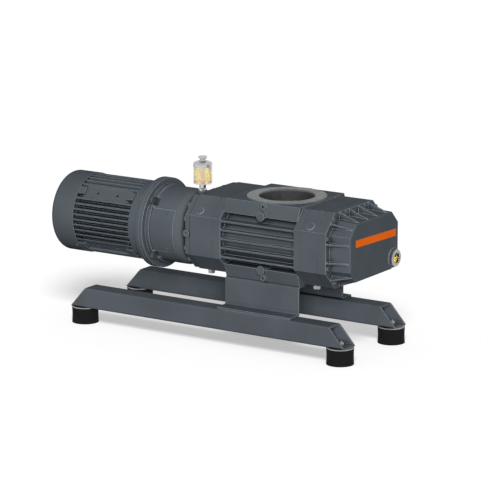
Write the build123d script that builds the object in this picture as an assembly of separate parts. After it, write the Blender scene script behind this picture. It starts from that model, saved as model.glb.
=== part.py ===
from build123d import *
from math import atan2, cos, degrees, hypot, pi, radians, sin, sqrt, tan
import os

# A two-lobe roots vacuum pump on a floor frame, driven by a flanged motor.
# The origin is on the floor at the centre of the four feet, +X points from
# the motor to the gear cover, +Z is up.  All sizes are in millimetres.

# ---- floor frame ----
FOOT_SPACING_X = 832.0
BUFFER_R = 37.5
BUFFER_H = 43.5
BUFFER_WAIST = 1.0
INSERT_R = 12.0
INSERT_FLANGE_R = 17.0
INSERT_FLANGE_H = 3.0
INSERT_H = 20.0
FLOOR_THREAD_R = 5.1
FLOOR_THREAD_DEPTH = 16.0
PLATE_R = 36.5
PLATE_T = 3.0
STUD_R = 6.0
NUT_ACROSS = 19.0
NUT_H = 10.0
RAIL_W = 58.0
RAIL_H = 57.0
RAIL_WALL = 4.0
RAIL_CORNER_R = 6.0
RAIL_END = 30.5
RAIL_END_CUT = 50.5
PEDESTAL_SETBACK = 24.0
PEDESTAL_LENGTH = 234.0
PEDESTAL_T = 6.0
PEDESTAL_BEND_R = 5.0
PEDESTAL_INSET = 3.0
PEDESTAL_FOOT = 48.0
PEDESTAL_SHELF = 30.0
FRAME_BOLT_R = 6.0
FRAME_BOLT_ACROSS = 18.0
FRAME_BOLT_HEAD = 7.5
FRAME_BOLT_LENGTH = 22.0
FRAME_BOLT_GAP = 0.6
FRAME_BOLT_INSET = 34.0

# ---- pump body ----
AXIS_Z = 295.0
BODY_HALF_W = 145.0
BODY_HALF_H = 103.0
BODY_CHAMFER = 48.0
CENTRE_DISTANCE = 104.0
LOBE_R = 72.0
BORE_CLEARANCE = 0.2
MESH_CLEARANCE = 0.2
END_CLEARANCE = 0.2
CYLINDER_X0 = 16.0
CYLINDER_X1 = 298.0
DRIVE_FLANGE_T = 26.0
GEAR_FLANGE_T = 22.0
BORE_WALL = 8.0
DECK_RISE = 4.5
DECK_INSET = 32.0
DECK_FOOT_INSET = 18.0
DECK_DEPTH = 36.0
FIN_COUNT = 5
FIN_PITCH = 24.6
FIN_T = 4.6
PORT_SETBACK = 148.0
INLET_R = 75.0
INLET_RING_R = 108.5
INLET_RING_H = 2.0
INLET_EDGE_R = 4.0
INLET_DEPTH = 31.0
INLET_THROAT_R = 70.0
GAUGE_HOLE_R = 4.5
GAUGE_HOLE_DROP = 14.0
GAUGE_HOLE_DEPTH = 20.0
OUTLET_R = 50.0
OUTLET_DEPTH = 28.0
OUTLET_THROAT_R = 46.0
OUTLET_RING_R = 76.0
OUTLET_RING_H = 1.5
SIDE_BOSS_R = 12.5
SIDE_BOSS_PROUD = 8.0
EYE_BOSS_R = 8.5
EYE_HOLE_R = 3.4
EYE_BOSS_Z = 98.0

# ---- end housings ----
DRIVE_HOUSING_LENGTH = 72.0
GEAR_HOUSING_LENGTH = 50.0
BEARING_R_OUT = 40.0
BEARING_R_IN = 20.0
BEARING_W = 18.0
BEARING_RING_T = 5.4
ROLLER_R = 4.5
ROLLER_COUNT = 10
ROLLER_INSET = 3.0
CHAMBER_SEAL_R = 34.0
CHAMBER_SEAL_W = 17.0
CHAMBER_SEAL_CLEARANCE = 0.08
BEARING_SHOULDER_R = 33.0
DRIVE_WALL_T = 46.0
HOUSING_WALL = 14.0
PAD_R = 11.0
PAD_PROUD = 1.4
PAD_DROP = 17.0
GEAR_PAD_GAP = 24.0
DRIVE_PAD_GAP = 46.0
PLUG_R = 9.0
PLUG_THREAD_R = 7.0
PLUG_THREAD_LENGTH = 12.0
PLUG_Y = 92.0
DRIVE_PLUG_GAP = 36.0
GEAR_PLUG_GAP = 19.0
PLUG_HEAD_H = 9.0
PLUG_SOCKET_R = 4.0

# ---- gear cover ----
COVER_FLANGE_T = 28.0
COVER_LENGTH = 92.0
COVER_LEDGE_W = 18.0
COVER_LEDGE_H = 21.0
COVER_LEDGE_CHAMFER = 13.5
COVER_DRAFT_W = 2.0
COVER_DRAFT_H = 3.0
COVER_DRAFT_CHAMFER = 2.5
COVER_WALL = 8.0
COVER_EDGE_R = 4.0
RIB_T = 4.6
RIB_END_GAP = 6.0
SIDE_RIB_STEP = 15.0
TOP_RIB_PITCH = 49.0
COVER_BOLT_R = 5.0
COVER_BOLT_ACROSS = 15.0
COVER_BOLT_HEAD = 6.4
COVER_BOLT_DEPTH = 42.0
COVER_BOLT_INSET = 8.9
SIDE_BOLT_STEP = 15.0
CORNER_BOLT_SLIDE = 14.0
GLASS_INSET_Y = 27.0
GLASS_INSET_Z = 31.0
GLASS_RING_R = 24.0
GLASS_RING_T = 12.0
GLASS_BOSS_R = 27.0
GLASS_BOSS_T = 3.0
GLASS_PANE_R = 17.0
GLASS_PANE_T = 5.0
GLASS_WINDOW_R = 14.5
GLASS_THREAD_R = 18.0
GLASS_LIP_T = 2.5

# ---- rotors, shafts and timing gears ----
SHAFT_R = 23.0
WAIST_POINTS = 9
DRIVE_END_R = 15.0
GEAR_SEAT_R = 18.0
NUT_SEAT_R = 15.0
GEAR_MODULE = 4.0
GEAR_TEETH = 26
GEAR_W = 30.0
GEAR_GAP = 16.0
GEAR_BACKLASH = 0.16
PRESSURE_ANGLE = 20.0
GEAR_HUB_R = 26.0
GEAR_WEB_RECESS = 6.0
LOCK_NUT_R = 24.0
LOCK_NUT_W = 10.0
LOCK_NUT_SLOT = 5.0
SLINGER_R = 62.0
SLINGER_T = 3.0

# ---- seal cover and lantern ----
SEAL_PLATE_T = 16.0
SEAL_PLATE_SHRINK = 2.0
SEAL_BOLT_LENGTH = 26.0
SPIGOT_R = 80.0
SPIGOT_T = 8.0
SEAL_NECK_R = 36.0
SEAL_NECK_LENGTH = 12.0
SEAL_R_OUT = 28.0
SEAL_W = 10.0
SEAL_CLEARANCE = 0.05
SIDE_PLUG_R = 10.0
SIDE_PLUG_PROUD = 6.0
OILER_X = -70.0
OILER_Y = -60.0
OILER_BOSS_R = 13.0
OILER_BOSS_RISE = 3.0
OILER_BOSS_H = 12.0
OIL_PASSAGE_R = 3.0
LANTERN_R = 105.0
LANTERN_WALL = 8.0
LANTERN_LENGTH = 113.0
LANTERN_SHOULDER_R = 26.0
LANTERN_STEP_R = 109.0
LANTERN_STEP_T = 14.0
LANTERN_END_T = 12.0
POCKET_R = 13.5
POCKET_LENGTH = 26.0
LANTERN_END_HOLE_R = 54.0
LANTERN_BOLT_CIRCLE_R = 67.0
LANTERN_BOLT_COUNT = 6
GUARD_HALF_ANGLE = 34.0
GUARD_LENGTH = 76.0
GUARD_START = 12.0
GUARD_T = 3.0
GUARD_FIT = 0.1

# ---- coupling ----
HUB_R = 42.0
HUB_LENGTH = 36.0
CLAW_LENGTH = 16.0
CLAW_COUNT = 3
CLAW_ANGLE = 36.0
CLAW_R_IN = 18.0
SPIDER_ANGLE = 23.6
SPIDER_CORE_R = 17.5
SPIDER_GAP = 0.3

# ---- motor ----
MOTOR_FLANGE_R = 125.0
MOTOR_FLANGE_T = 11.0
MOTOR_SPIGOT_R = 90.0
MOTOR_SPIGOT_T = 4.0
MOTOR_BOLT_CIRCLE_R = 107.5
MOTOR_BOLT_COUNT = 4
MOTOR_BOLT_R = 7.0
MOTOR_BOLT_ACROSS = 21.0
MOTOR_BOLT_HEAD = 9.0
SHIELD_DROP = 2.0
SHIELD_POCKET_GAP = 0.8956
SHIELD_LENGTH = 35.0
SHIELD_RIM = 20.0
FRAME_LENGTH = 184.0
FRAME_CORE_R = 90.0
FRAME_BORE_R = 84.0
FRAME_FIN_R = 110.0
FRAME_FIN_PITCH = 14.7
FRAME_FIN_T = 4.4
FRAME_FINS_PER_SIDE = 9
PAD_W = 40.0
PAD_FACE_DROP = 6.0
PAD_LENGTH = 150.0
PAD_HOLE_R = 4.0
PAD_HOLE_SPACING = 65.0
PAD_HOLE_DEPTH = 12.0
LUG_W = 22.0
LUG_LENGTH = 22.0
LUG_RISE = 2.0
MOTOR_SHAFT_R = 19.0
MOTOR_SHAFT_END_R = 14.0
MOTOR_SHAFT_END_LENGTH = 60.0
STATOR_LENGTH = 110.0
STATOR_BORE_R = 50.0
AIR_GAP = 0.4
SLOT_COUNT = 12
SLOT_W = 9.0
SLOT_DEPTH = 17.0
WINDING_LENGTH = 26.0
ROTOR_RING_LENGTH = 10.0
MOTOR_BEARING_R_OUT = 40.0
MOTOR_BEARING_W = 18.0
MOTOR_BEARING_SPLIT_R = 30.0
REAR_SHIELD_T = 14.0
FAN_COVER_RISE = 2.0
FAN_COVER_LENGTH = 77.0
FAN_COVER_T = 2.5
FAN_COVER_EDGE_R = 12.0
FAN_SLOT_COUNT = 12
FAN_SLOT_W = 6.0
FAN_SLOT_IN_R = 28.0
FAN_SLOT_WEB_R = 57.0
FAN_SLOT_WEB = 6.0
FAN_SLOT_RIM = 24.0
FAN_R = 92.0
FAN_HUB_R = 26.0
FAN_BLADES = 7
FAN_BLADE_T = 4.0
FAN_BACK_T = 4.0
FAN_DEPTH = 34.0
FAN_GAP = 8.0
BOX_LENGTH = 104.0
BOX_WIDTH = 96.0
BOX_DEPTH = 34.0
BOX_WALL = 4.0
BOX_CORNER_R = 10.0
BOX_SETBACK = 110.0
BOX_SEAT = 2.0
LID_T = 12.0
LID_EDGE_R = 4.0
GLAND_R = 10.0
GLAND_BORE_R = 6.0
GLAND_LENGTH = 24.0
GLAND_NUT_ACROSS = 27.0
GLAND_NUT_LENGTH = 9.0

# ---- oiler ----
GLASS_CUP_R = 26.0
GLASS_CUP_WALL = 2.4
GLASS_CUP_H = 49.5
GLASS_CUP_FLOOR = 3.0
STEM_H = 18.5
STEM_R_BOTTOM = 12.0
STEM_R_TOP = 9.0
OIL_LEVEL = 43.0
OIL_GAP = 0.2
TUBE_R = 5.0
TUBE_BORE_R = 2.6
TUBE_SLOT = 3.0
CAP_H = 15.0
CAP_RIM_H = 7.0
CAP_TOP_R = 13.0
KNOB_H = 12.0
KNOB_R = 12.5
KNOB_WAIST_R = 7.5
KNOB_CLEARANCE = 0.3
NEEDLE_R = 2.2
NEEDLE_LENGTH = 50.0

# ---- places that follow from the sizes above ----
DECK_HALF_H = BODY_HALF_H + DECK_RISE
DECK_HALF_W = BODY_HALF_W - DECK_INSET
DECK_FOOT_HALF_W = BODY_HALF_W - DECK_FOOT_INSET
COVER_ROOT_HALF_W = BODY_HALF_W - COVER_LEDGE_W
COVER_ROOT_HALF_H = BODY_HALF_H - COVER_LEDGE_H
COVER_ROOT_CHAMFER = BODY_CHAMFER - COVER_LEDGE_CHAMFER
COVER_FACE_HALF_W = COVER_ROOT_HALF_W - COVER_DRAFT_W
COVER_FACE_HALF_H = COVER_ROOT_HALF_H - COVER_DRAFT_H
COVER_FACE_CHAMFER = COVER_ROOT_CHAMFER - COVER_DRAFT_CHAMFER
SIDE_BOLT_Z = BODY_HALF_H - BODY_CHAMFER - SIDE_BOLT_STEP
SIDE_RIB_Z = SIDE_BOLT_Z - SIDE_RIB_STEP
GLASS_Y = COVER_FACE_HALF_W - GLASS_INSET_Y
GLASS_Z = GLASS_INSET_Z - COVER_FACE_HALF_H
OILER_BOSS_TOP = AXIS_Z + BODY_HALF_H + OILER_BOSS_RISE
FAN_COVER_R = FRAME_FIN_R + FAN_COVER_RISE
SHIELD_R = FRAME_FIN_R - SHIELD_DROP
SHIELD_POCKET_R = MOTOR_BOLT_ACROSS / sqrt(3) + SHIELD_POCKET_GAP
PAD_FACE_R = FRAME_FIN_R - PAD_FACE_DROP
LUG_R = FRAME_FIN_R + LUG_RISE
PORT_X = CYLINDER_X0 + PORT_SETBACK
PEDESTAL_X0 = CYLINDER_X0 + PEDESTAL_SETBACK
PEDESTAL_Y = DECK_HALF_W - PEDESTAL_INSET
RAIL_LENGTH = FOOT_SPACING_X + 2 * RAIL_END
RAIL_Z0 = BUFFER_H + PLATE_T
RAIL_Z1 = RAIL_Z0 + RAIL_H
RAIL_Y = PEDESTAL_Y + PEDESTAL_FOOT / 2
DRIVE_Y = -CENTRE_DISTANCE / 2
DRIVEN_Y = CENTRE_DISTANCE / 2
BODY_BOTTOM = AXIS_Z - DECK_HALF_H
DECK_TOP = AXIS_Z + DECK_HALF_H
INLET_TOP = DECK_TOP + INLET_RING_H
OUTLET_FACE = BODY_BOTTOM - OUTLET_RING_H
DRIVE_FACE = CYLINDER_X0 - DRIVE_HOUSING_LENGTH
GEAR_FACE = CYLINDER_X1 + GEAR_HOUSING_LENGTH
COVER_FLANGE_FACE = GEAR_FACE + COVER_FLANGE_T
COVER_FACE = GEAR_FACE + COVER_LENGTH
ROTOR_X0 = CYLINDER_X0 + END_CLEARANCE
ROTOR_X1 = CYLINDER_X1 - END_CLEARANCE
DRIVE_SEAL_X = CYLINDER_X0 - CHAMBER_SEAL_W
DRIVE_BEARING_X = DRIVE_SEAL_X - 2.0 - BEARING_W
GEAR_BEARING_X = CYLINDER_X1 + CHAMBER_SEAL_W + 2.0
GEAR_X = GEAR_BEARING_X + BEARING_W + GEAR_GAP
LOCK_NUT_X = GEAR_X + GEAR_W
SEAL_PLATE_X = DRIVE_FACE - SEAL_PLATE_T
LANTERN_X1 = SEAL_PLATE_X - SPIGOT_T
LANTERN_X0 = LANTERN_X1 - LANTERN_LENGTH
MOTOR_FACE = LANTERN_X0 - MOTOR_FLANGE_T
SHIELD_X0 = MOTOR_FACE - SHIELD_LENGTH - MOTOR_FLANGE_T
FRAME_X0 = SHIELD_X0 - FRAME_LENGTH
FAN_COVER_X0 = FRAME_X0 - FAN_COVER_LENGTH
STATOR_X0 = FRAME_X0 + (FRAME_LENGTH - STATOR_LENGTH) / 2
REAR_BEARING_X = FRAME_X0 - REAR_SHIELD_T - 2.0
FRONT_BEARING_X = SHIELD_X0 + 6.0
HUB_FACE = MOTOR_FACE + MOTOR_SHAFT_END_LENGTH
PUMP_HUB_X = HUB_FACE + CLAW_LENGTH
FAN_X1 = REAR_BEARING_X - FAN_GAP
FAN_X0 = FAN_X1 - FAN_DEPTH
BOX_X = SHIELD_X0 - BOX_SETBACK
BOX_Y0 = DRIVE_Y + FRAME_CORE_R - BOX_SEAT
BOX_Y1 = DRIVE_Y + FRAME_FIN_R + BOX_DEPTH
CUP_Z0 = OILER_BOSS_TOP + STEM_H
CUP_Z1 = CUP_Z0 + GLASS_CUP_H
CAP_Z1 = CUP_Z1 + CAP_H
BODY_FLAT_BOTTOM = AXIS_Z - BODY_HALF_H
DRIVE_PAD_X = CYLINDER_X0 - DRIVE_PAD_GAP
GEAR_PAD_X = CYLINDER_X1 + GEAR_PAD_GAP
SIN45 = sin(radians(45))


def section(x, y=0.0):
    """Plane across the pump at x: first axis +Y, second axis +Z, on the pump axis."""
    return Plane(origin=(x, y, AXIS_Z), x_dir=(0, 1, 0), z_dir=(1, 0, 0))


def rod(x0, x1, radius, y=0.0, z=0.0):
    """Round bar along X; z is measured from the pump axis."""
    return extrude(section(x0, y) * Pos(0, z) * Circle(radius), x1 - x0)


def tube(x0, x1, outer, inner, y=0.0):
    """Round ring along X."""
    ring = Circle(outer) - Circle(inner)
    return extrude(section(x0, y) * ring, x1 - x0)


def prism(x0, x1, outline, y=0.0):
    """Flat outline in the section plane, extruded along X."""
    return extrude(section(x0, y) * outline, x1 - x0, dir=(1, 0, 0))


def upright(z0, z1, radius, x=0.0, y=0.0):
    """Round bar along Z between two heights above the floor."""
    return Pos(x, y, z0) * extrude(Circle(radius), z1 - z0)


def block(x0, x1, y0, y1, z0, z1):
    """Plain block between two corners."""
    size = (x1 - x0, y1 - y0, z1 - z0)
    return Pos(x0, y0, z0) * Box(*size, align=(Align.MIN, Align.MIN, Align.MIN))


def octagon(half_w, half_h, chamfer):
    """Eight-sided outline of the pump's housings, centred on the pump axis."""
    points = []
    for side_y, side_z in ((1, 1), (-1, 1), (-1, -1), (1, -1)):
        flat = (side_y * (half_w - chamfer), side_z * half_h)
        steep = (side_y * half_w, side_z * (half_h - chamfer))
        points += [steep, flat] if side_y * side_z > 0 else [flat, steep]
    return Polygon(*points, align=None)


def body_outline(shrink=0.0):
    """Outline of the housings, moved in on every side by shrink."""
    cut = shrink * (2 - sqrt(2))
    return octagon(BODY_HALF_W - shrink, BODY_HALF_H - shrink, BODY_CHAMFER - cut)


def hexagon_bar(length, across):
    """Six-sided bar along its own Z, from 0 to length."""
    return extrude(RegularPolygon(across / 2, 6, major_radius=False), length)


def along_x(shape, x, y=0.0, z=0.0, facing=1):
    """Turn a piece made along Z so that it points along +X or -X, at a place on the axis."""
    return Pos(x, y, AXIS_Z + z) * Rot(0, 90 * facing, 0) * shape


def hex_bolt(shank_r, length, across, head):
    """Hexagon bolt along Z: its shank runs down from 0, its head stands on 0."""
    crown = hexagon_bar(head, across)
    crown = crown & Cone(across * 0.72, across * 0.50, head, align=(Align.CENTER, Align.CENTER, Align.MIN))
    shank = Pos(0, 0, -length) * extrude(Circle(shank_r), length)
    return crown + shank


def group(pieces):
    """Several separate solids that share one node."""
    return Compound(children=[solid for piece in pieces for solid in piece.solids()])


def write(name, shape):
    """Write one named piece."""
    export_step(shape, "parts/" + name + ".step")


# ---------------------------------------------------------------- floor frame

def foot_places():
    """Centres of the four feet."""
    return [(sx * FOOT_SPACING_X / 2, sy * RAIL_Y) for sx in (-1, 1) for sy in (-1, 1)]


def at_feet(piece):
    """One copy of a piece at each foot."""
    return group([Pos(x, y, 0) * piece for x, y in foot_places()])


def foot_buffer():
    """Round rubber buffer with a slight waist and a recess for its threaded insert."""
    side = ThreePointArc((BUFFER_R, 0), (BUFFER_R - BUFFER_WAIST, BUFFER_H / 2), (BUFFER_R, BUFFER_H))
    outline = side + Polyline((BUFFER_R, BUFFER_H), (0, BUFFER_H), (0, 0), (BUFFER_R, 0))
    rubber = revolve(Plane.XZ * make_face(outline), Axis.Z)
    return rubber - foot_insert_blank()


def foot_insert_blank():
    """Threaded insert without its hole: a bush with a buried flange."""
    flange_z = INSERT_H - INSERT_FLANGE_H
    return upright(0, INSERT_H, INSERT_R) + upright(flange_z, INSERT_H, INSERT_FLANGE_R)


def foot_insert():
    """Threaded insert in the buffer's underside, where floor bolts go."""
    return foot_insert_blank() - upright(0, FLOOR_THREAD_DEPTH, FLOOR_THREAD_R)


def foot_plate():
    """Steel plate bonded on the buffer, with the stud that goes up into the rail."""
    stud_top = RAIL_Z0 + RAIL_WALL + NUT_H + 3
    return upright(BUFFER_H, RAIL_Z0, PLATE_R) + upright(RAIL_Z0, stud_top, STUD_R)


def foot_nut():
    """Nut on the stud inside the rail."""
    nut = Pos(0, 0, RAIL_Z0 + RAIL_WALL) * hexagon_bar(NUT_H, NUT_ACROSS)
    return nut - upright(RAIL_Z0, RAIL_Z1, STUD_R)


def rail(side):
    """Hollow square tube with both ends cut on the slant; the bottom is the longer side."""
    outer = RectangleRounded(RAIL_W, RAIL_H, RAIL_CORNER_R)
    inner = RectangleRounded(RAIL_W - 2 * RAIL_WALL, RAIL_H - 2 * RAIL_WALL, RAIL_CORNER_R - RAIL_WALL)
    middle = (RAIL_Z0 + RAIL_Z1) / 2
    start = Plane(origin=(-RAIL_LENGTH / 2, side * RAIL_Y, middle), x_dir=(0, 1, 0), z_dir=(1, 0, 0))
    bar = extrude(start * (outer - inner), RAIL_LENGTH)
    half = RAIL_LENGTH / 2
    profile = Polygon(
        (-half, RAIL_Z0), (half, RAIL_Z0), (half - RAIL_END_CUT, RAIL_Z1), (RAIL_END_CUT - half, RAIL_Z1),
        align=None,
    )
    bar = bar & extrude(Plane.XZ.offset(-side * RAIL_Y) * profile, RAIL_W, both=True)
    for x, y in foot_places():
        bar -= upright(RAIL_Z0 - 1, RAIL_Z0 + RAIL_WALL + 1, STUD_R, x, y)
    return bar


def pedestal_bolt_x():
    """Places along each pedestal of the bolts that hold the pump."""
    return (PEDESTAL_X0 + FRAME_BOLT_INSET, PEDESTAL_X0 + PEDESTAL_LENGTH - FRAME_BOLT_INSET)


def shelf_bolt_y():
    """Distance from the centre plane of the bolts that hold the pump to a pedestal."""
    return PEDESTAL_Y - PEDESTAL_BEND_R - FRAME_BOLT_ACROSS / sqrt(3) - FRAME_BOLT_GAP


def round_corners(outline, radius, corners):
    """Round the outline's corners that lie at the given places."""
    chosen = []
    for y, z in corners:
        chosen.append(min(outline.vertices(), key=lambda v: hypot(v.X - y, v.Y - z)))
    return fillet(chosen, radius)


def pedestal(side):
    """Plate bent twice: a foot on the rail, a wall and an inward shelf under the pump."""
    outline = Polygon(
        (PEDESTAL_Y + PEDESTAL_FOOT, RAIL_Z1),
        (PEDESTAL_Y + PEDESTAL_FOOT, RAIL_Z1 + PEDESTAL_T),
        (PEDESTAL_Y + PEDESTAL_T, RAIL_Z1 + PEDESTAL_T),
        (PEDESTAL_Y + PEDESTAL_T, BODY_BOTTOM),
        (PEDESTAL_Y - PEDESTAL_SHELF, BODY_BOTTOM),
        (PEDESTAL_Y - PEDESTAL_SHELF, BODY_BOTTOM - PEDESTAL_T),
        (PEDESTAL_Y, BODY_BOTTOM - PEDESTAL_T),
        (PEDESTAL_Y, RAIL_Z1),
        align=None,
    )
    outline = round_corners(outline, PEDESTAL_BEND_R, [
        (PEDESTAL_Y + PEDESTAL_T, RAIL_Z1 + PEDESTAL_T), (PEDESTAL_Y, BODY_BOTTOM - PEDESTAL_T)])
    outline = round_corners(outline, PEDESTAL_BEND_R + PEDESTAL_T, [
        (PEDESTAL_Y + PEDESTAL_T, BODY_BOTTOM), (PEDESTAL_Y, RAIL_Z1)])
    start = Plane(origin=(PEDESTAL_X0, 0, 0), x_dir=(0, side, 0), z_dir=(side, 0, 0))
    plate = extrude(start * outline, side * PEDESTAL_LENGTH)
    for x in pedestal_bolt_x():
        y = side * shelf_bolt_y()
        plate -= upright(BODY_BOTTOM - PEDESTAL_T - 1, BODY_BOTTOM + 1, FRAME_BOLT_R, x, y)
    return plate


def frame_bolts():
    """Bolts up through the pedestals' shelves into the pump."""
    bolt = hex_bolt(FRAME_BOLT_R, FRAME_BOLT_LENGTH, FRAME_BOLT_ACROSS, FRAME_BOLT_HEAD)
    bolts = []
    for x in pedestal_bolt_x():
        for side in (-1, 1):
            bolts.append(Pos(x, side * shelf_bolt_y(), BODY_BOTTOM - PEDESTAL_T) * Rot(180, 0, 0) * bolt)
    return group(bolts)


# ---------------------------------------------------------------- pump housings

def deck_outline(half_h):
    """Outline of the top or bottom block of the cylinder, with slightly drafted flanks."""
    up = 1 if half_h > 0 else -1
    return Polygon(
        (-DECK_HALF_W, half_h), (DECK_HALF_W, half_h),
        (DECK_FOOT_HALF_W, half_h - up * DECK_DEPTH), (-DECK_FOOT_HALF_W, half_h - up * DECK_DEPTH),
        align=None,
    )


def cylinder_housing():
    """Ribbed casting with the figure-eight bore, the inlet on top and the outlet below."""
    fins_x0 = CYLINDER_X0 + DRIVE_FLANGE_T
    fins_x1 = CYLINDER_X1 - GEAR_FLANGE_T
    body = prism(CYLINDER_X0, fins_x0, body_outline()) + prism(fins_x1, CYLINDER_X1, body_outline())
    core = SlotCenterToCenter(CENTRE_DISTANCE, 2 * (LOBE_R + BORE_WALL))
    body += prism(fins_x0, fins_x1, core)
    for half_h in (DECK_HALF_H, -DECK_HALF_H):
        body += prism(fins_x0, fins_x1, deck_outline(half_h))
    for step in range(FIN_COUNT):
        z = AXIS_Z + (step - (FIN_COUNT - 1) / 2) * FIN_PITCH
        body += block(fins_x0, fins_x1, -BODY_HALF_W, BODY_HALF_W, z - FIN_T / 2, z + FIN_T / 2)
    boss_z = DECK_HALF_H - DECK_DEPTH + FIN_T / 2
    for side in (-1, 1):
        for up in (-1, 1):
            boss = Circle(SIDE_BOSS_R)
            start = Plane(origin=(PORT_X, 0, AXIS_Z + up * boss_z), x_dir=(1, 0, 0), z_dir=(0, side, 0))
            body += extrude(start * boss, DECK_FOOT_HALF_W + SIDE_BOSS_PROUD)
            eye = Plane(origin=(PORT_X, 0, AXIS_Z + up * EYE_BOSS_Z), x_dir=(1, 0, 0), z_dir=(0, side, 0))
            body += extrude(eye * Circle(EYE_BOSS_R), DECK_FOOT_HALF_W - 4)
    body += upright(DECK_TOP - 1, INLET_TOP, INLET_RING_R, PORT_X)
    body += upright(OUTLET_FACE, BODY_BOTTOM + 1, OUTLET_RING_R, PORT_X)
    bore_r = LOBE_R + BORE_CLEARANCE
    for y in (DRIVE_Y, DRIVEN_Y):
        body -= rod(CYLINDER_X0 - 1, CYLINDER_X1 + 1, bore_r, y)
    body -= upright(INLET_TOP - INLET_DEPTH, INLET_TOP + 1, INLET_R, PORT_X)
    body -= upright(AXIS_Z, INLET_TOP, INLET_THROAT_R, PORT_X)
    body -= upright(OUTLET_FACE - 1, OUTLET_FACE + OUTLET_DEPTH, OUTLET_R, PORT_X)
    body -= upright(OUTLET_FACE, AXIS_Z, OUTLET_THROAT_R, PORT_X)
    for side in (-1, 1):
        for up in (-1, 1):
            eye = Plane(origin=(PORT_X, 0, AXIS_Z + up * EYE_BOSS_Z), x_dir=(1, 0, 0), z_dir=(0, side, 0))
            hole = extrude(eye.offset(DECK_FOOT_HALF_W - 22) * Circle(EYE_HOLE_R), 30)
            body -= hole
        for x in pedestal_bolt_x():
            y = side * shelf_bolt_y()
            body -= upright(BODY_BOTTOM - 1, BODY_BOTTOM + FRAME_BOLT_LENGTH - PEDESTAL_T, FRAME_BOLT_R, x, y)
    body -= inlet_rounding()
    gauge_z = INLET_TOP - GAUGE_HOLE_DROP
    gauge = Plane(origin=(PORT_X + INLET_R - 3, 0, gauge_z), x_dir=(0, 1, 0), z_dir=(1, 0, 0))
    body -= extrude(gauge * Circle(GAUGE_HOLE_R), GAUGE_HOLE_DEPTH)
    return body


def inlet_rounding():
    """What the rounding of the inlet's upper edge takes away."""
    low = INLET_TOP - INLET_EDGE_R
    bend = INLET_EDGE_R * (1 - SIN45)
    rim_r = INLET_R + INLET_EDGE_R
    arc = ThreePointArc((INLET_R, low), (INLET_R + bend, INLET_TOP - bend), (rim_r, INLET_TOP))
    rest = Polyline(
        (rim_r, INLET_TOP), (rim_r, INLET_TOP + 1),
        (INLET_R - 1, INLET_TOP + 1), (INLET_R - 1, low), (INLET_R, low),
    )
    return Pos(PORT_X, 0, 0) * revolve(Plane.XZ * make_face(arc + rest), Axis.Z)


def drive_side_housing():
    """End housing at the motor side: end wall with bearing seats and an open bearing chamber."""
    body = prism(DRIVE_FACE, CYLINDER_X0, body_outline())
    wall_x = CYLINDER_X0 - DRIVE_WALL_T
    chamber = body_outline(HOUSING_WALL)
    body -= prism(DRIVE_FACE - 1, wall_x, chamber)
    for y in (DRIVE_Y, DRIVEN_Y):
        body -= rod(DRIVE_SEAL_X, CYLINDER_X0 + 1, CHAMBER_SEAL_R, y)
        body -= rod(wall_x - 1, DRIVE_SEAL_X + 1, BEARING_SHOULDER_R, y)
        body -= rod(wall_x - 1, DRIVE_BEARING_X + BEARING_W, BEARING_R_OUT, y)
    body += filler_pads(DRIVE_PAD_X)
    for y, z in seal_cover_bolt_places():
        body -= rod(DRIVE_FACE - 1, SEAL_PLATE_X + SEAL_BOLT_LENGTH, COVER_BOLT_R, y, z)
    return body - drain_hole(drain_places()[0])


def drain_places():
    """Drain plugs under the drive-side and gear-side housings."""
    return [(CYLINDER_X0 - DRIVE_PLUG_GAP, -PLUG_Y, BODY_FLAT_BOTTOM),
            (CYLINDER_X1 + GEAR_PLUG_GAP, -PLUG_Y, BODY_FLAT_BOTTOM)]


def drain_hole(place):
    """Threaded hole for a drain plug."""
    x, y, z = place
    return upright(z - 1, z + PLUG_THREAD_LENGTH, PLUG_THREAD_R, x, y)


def filler_pads(x):
    """Round cast pads low on the two upper chamfers."""
    middle = BODY_CHAMFER / 2
    drop = PAD_DROP * SIN45
    pads = []
    for side in (-1, 1):
        centre = (x, side * (BODY_HALF_W - middle + drop), AXIS_Z + BODY_HALF_H - middle - drop)
        plane = Plane(origin=centre, x_dir=(1, 0, 0), z_dir=(0, side, 1))
        pads.append(extrude(plane.offset(-4) * Circle(PAD_R), PAD_PROUD + 4))
    return pads


def gear_side_housing():
    """End housing at the gear side: end wall with bearing seats, open to the gear chamber."""
    body = prism(CYLINDER_X1, GEAR_FACE, body_outline())
    bearing_end = GEAR_BEARING_X + BEARING_W
    body -= prism(bearing_end, GEAR_FACE + 1, octagon(COVER_FACE_HALF_W - COVER_WALL,
                                                      COVER_FACE_HALF_H - COVER_WALL, COVER_FACE_CHAMFER))
    for y in (DRIVE_Y, DRIVEN_Y):
        body -= rod(CYLINDER_X1 - 1, GEAR_BEARING_X - 2, CHAMBER_SEAL_R, y)
        body -= rod(CYLINDER_X1, bearing_end, BEARING_SHOULDER_R, y)
        body -= rod(GEAR_BEARING_X, bearing_end + 1, BEARING_R_OUT, y)
    body += filler_pads(GEAR_PAD_X)
    for y, z in cover_bolt_places():
        body -= rod(COVER_FLANGE_FACE - COVER_BOLT_DEPTH, GEAR_FACE + 1, COVER_BOLT_R, y, z)
    return body - drain_hole(drain_places()[1])


def cover_bolt_places():
    """Bolts round the gear cover's flange, between the ribs, as (y, z) from the axis."""
    side_y = BODY_HALF_W - COVER_BOLT_INSET
    top_z = BODY_HALF_H - COVER_BOLT_INSET
    corner = BODY_CHAMFER / 2 + COVER_BOLT_INSET * SIN45
    places = []
    for side in (-1, 1):
        for up in (-1, 1):
            places.append((side * side_y, up * SIDE_BOLT_Z))
            places.append((side * TOP_RIB_PITCH, up * top_z))
            slide = CORNER_BOLT_SLIDE * SIN45
            places.append((side * (BODY_HALF_W - corner - slide), up * (BODY_HALF_H - corner + slide)))
    return places


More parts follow.
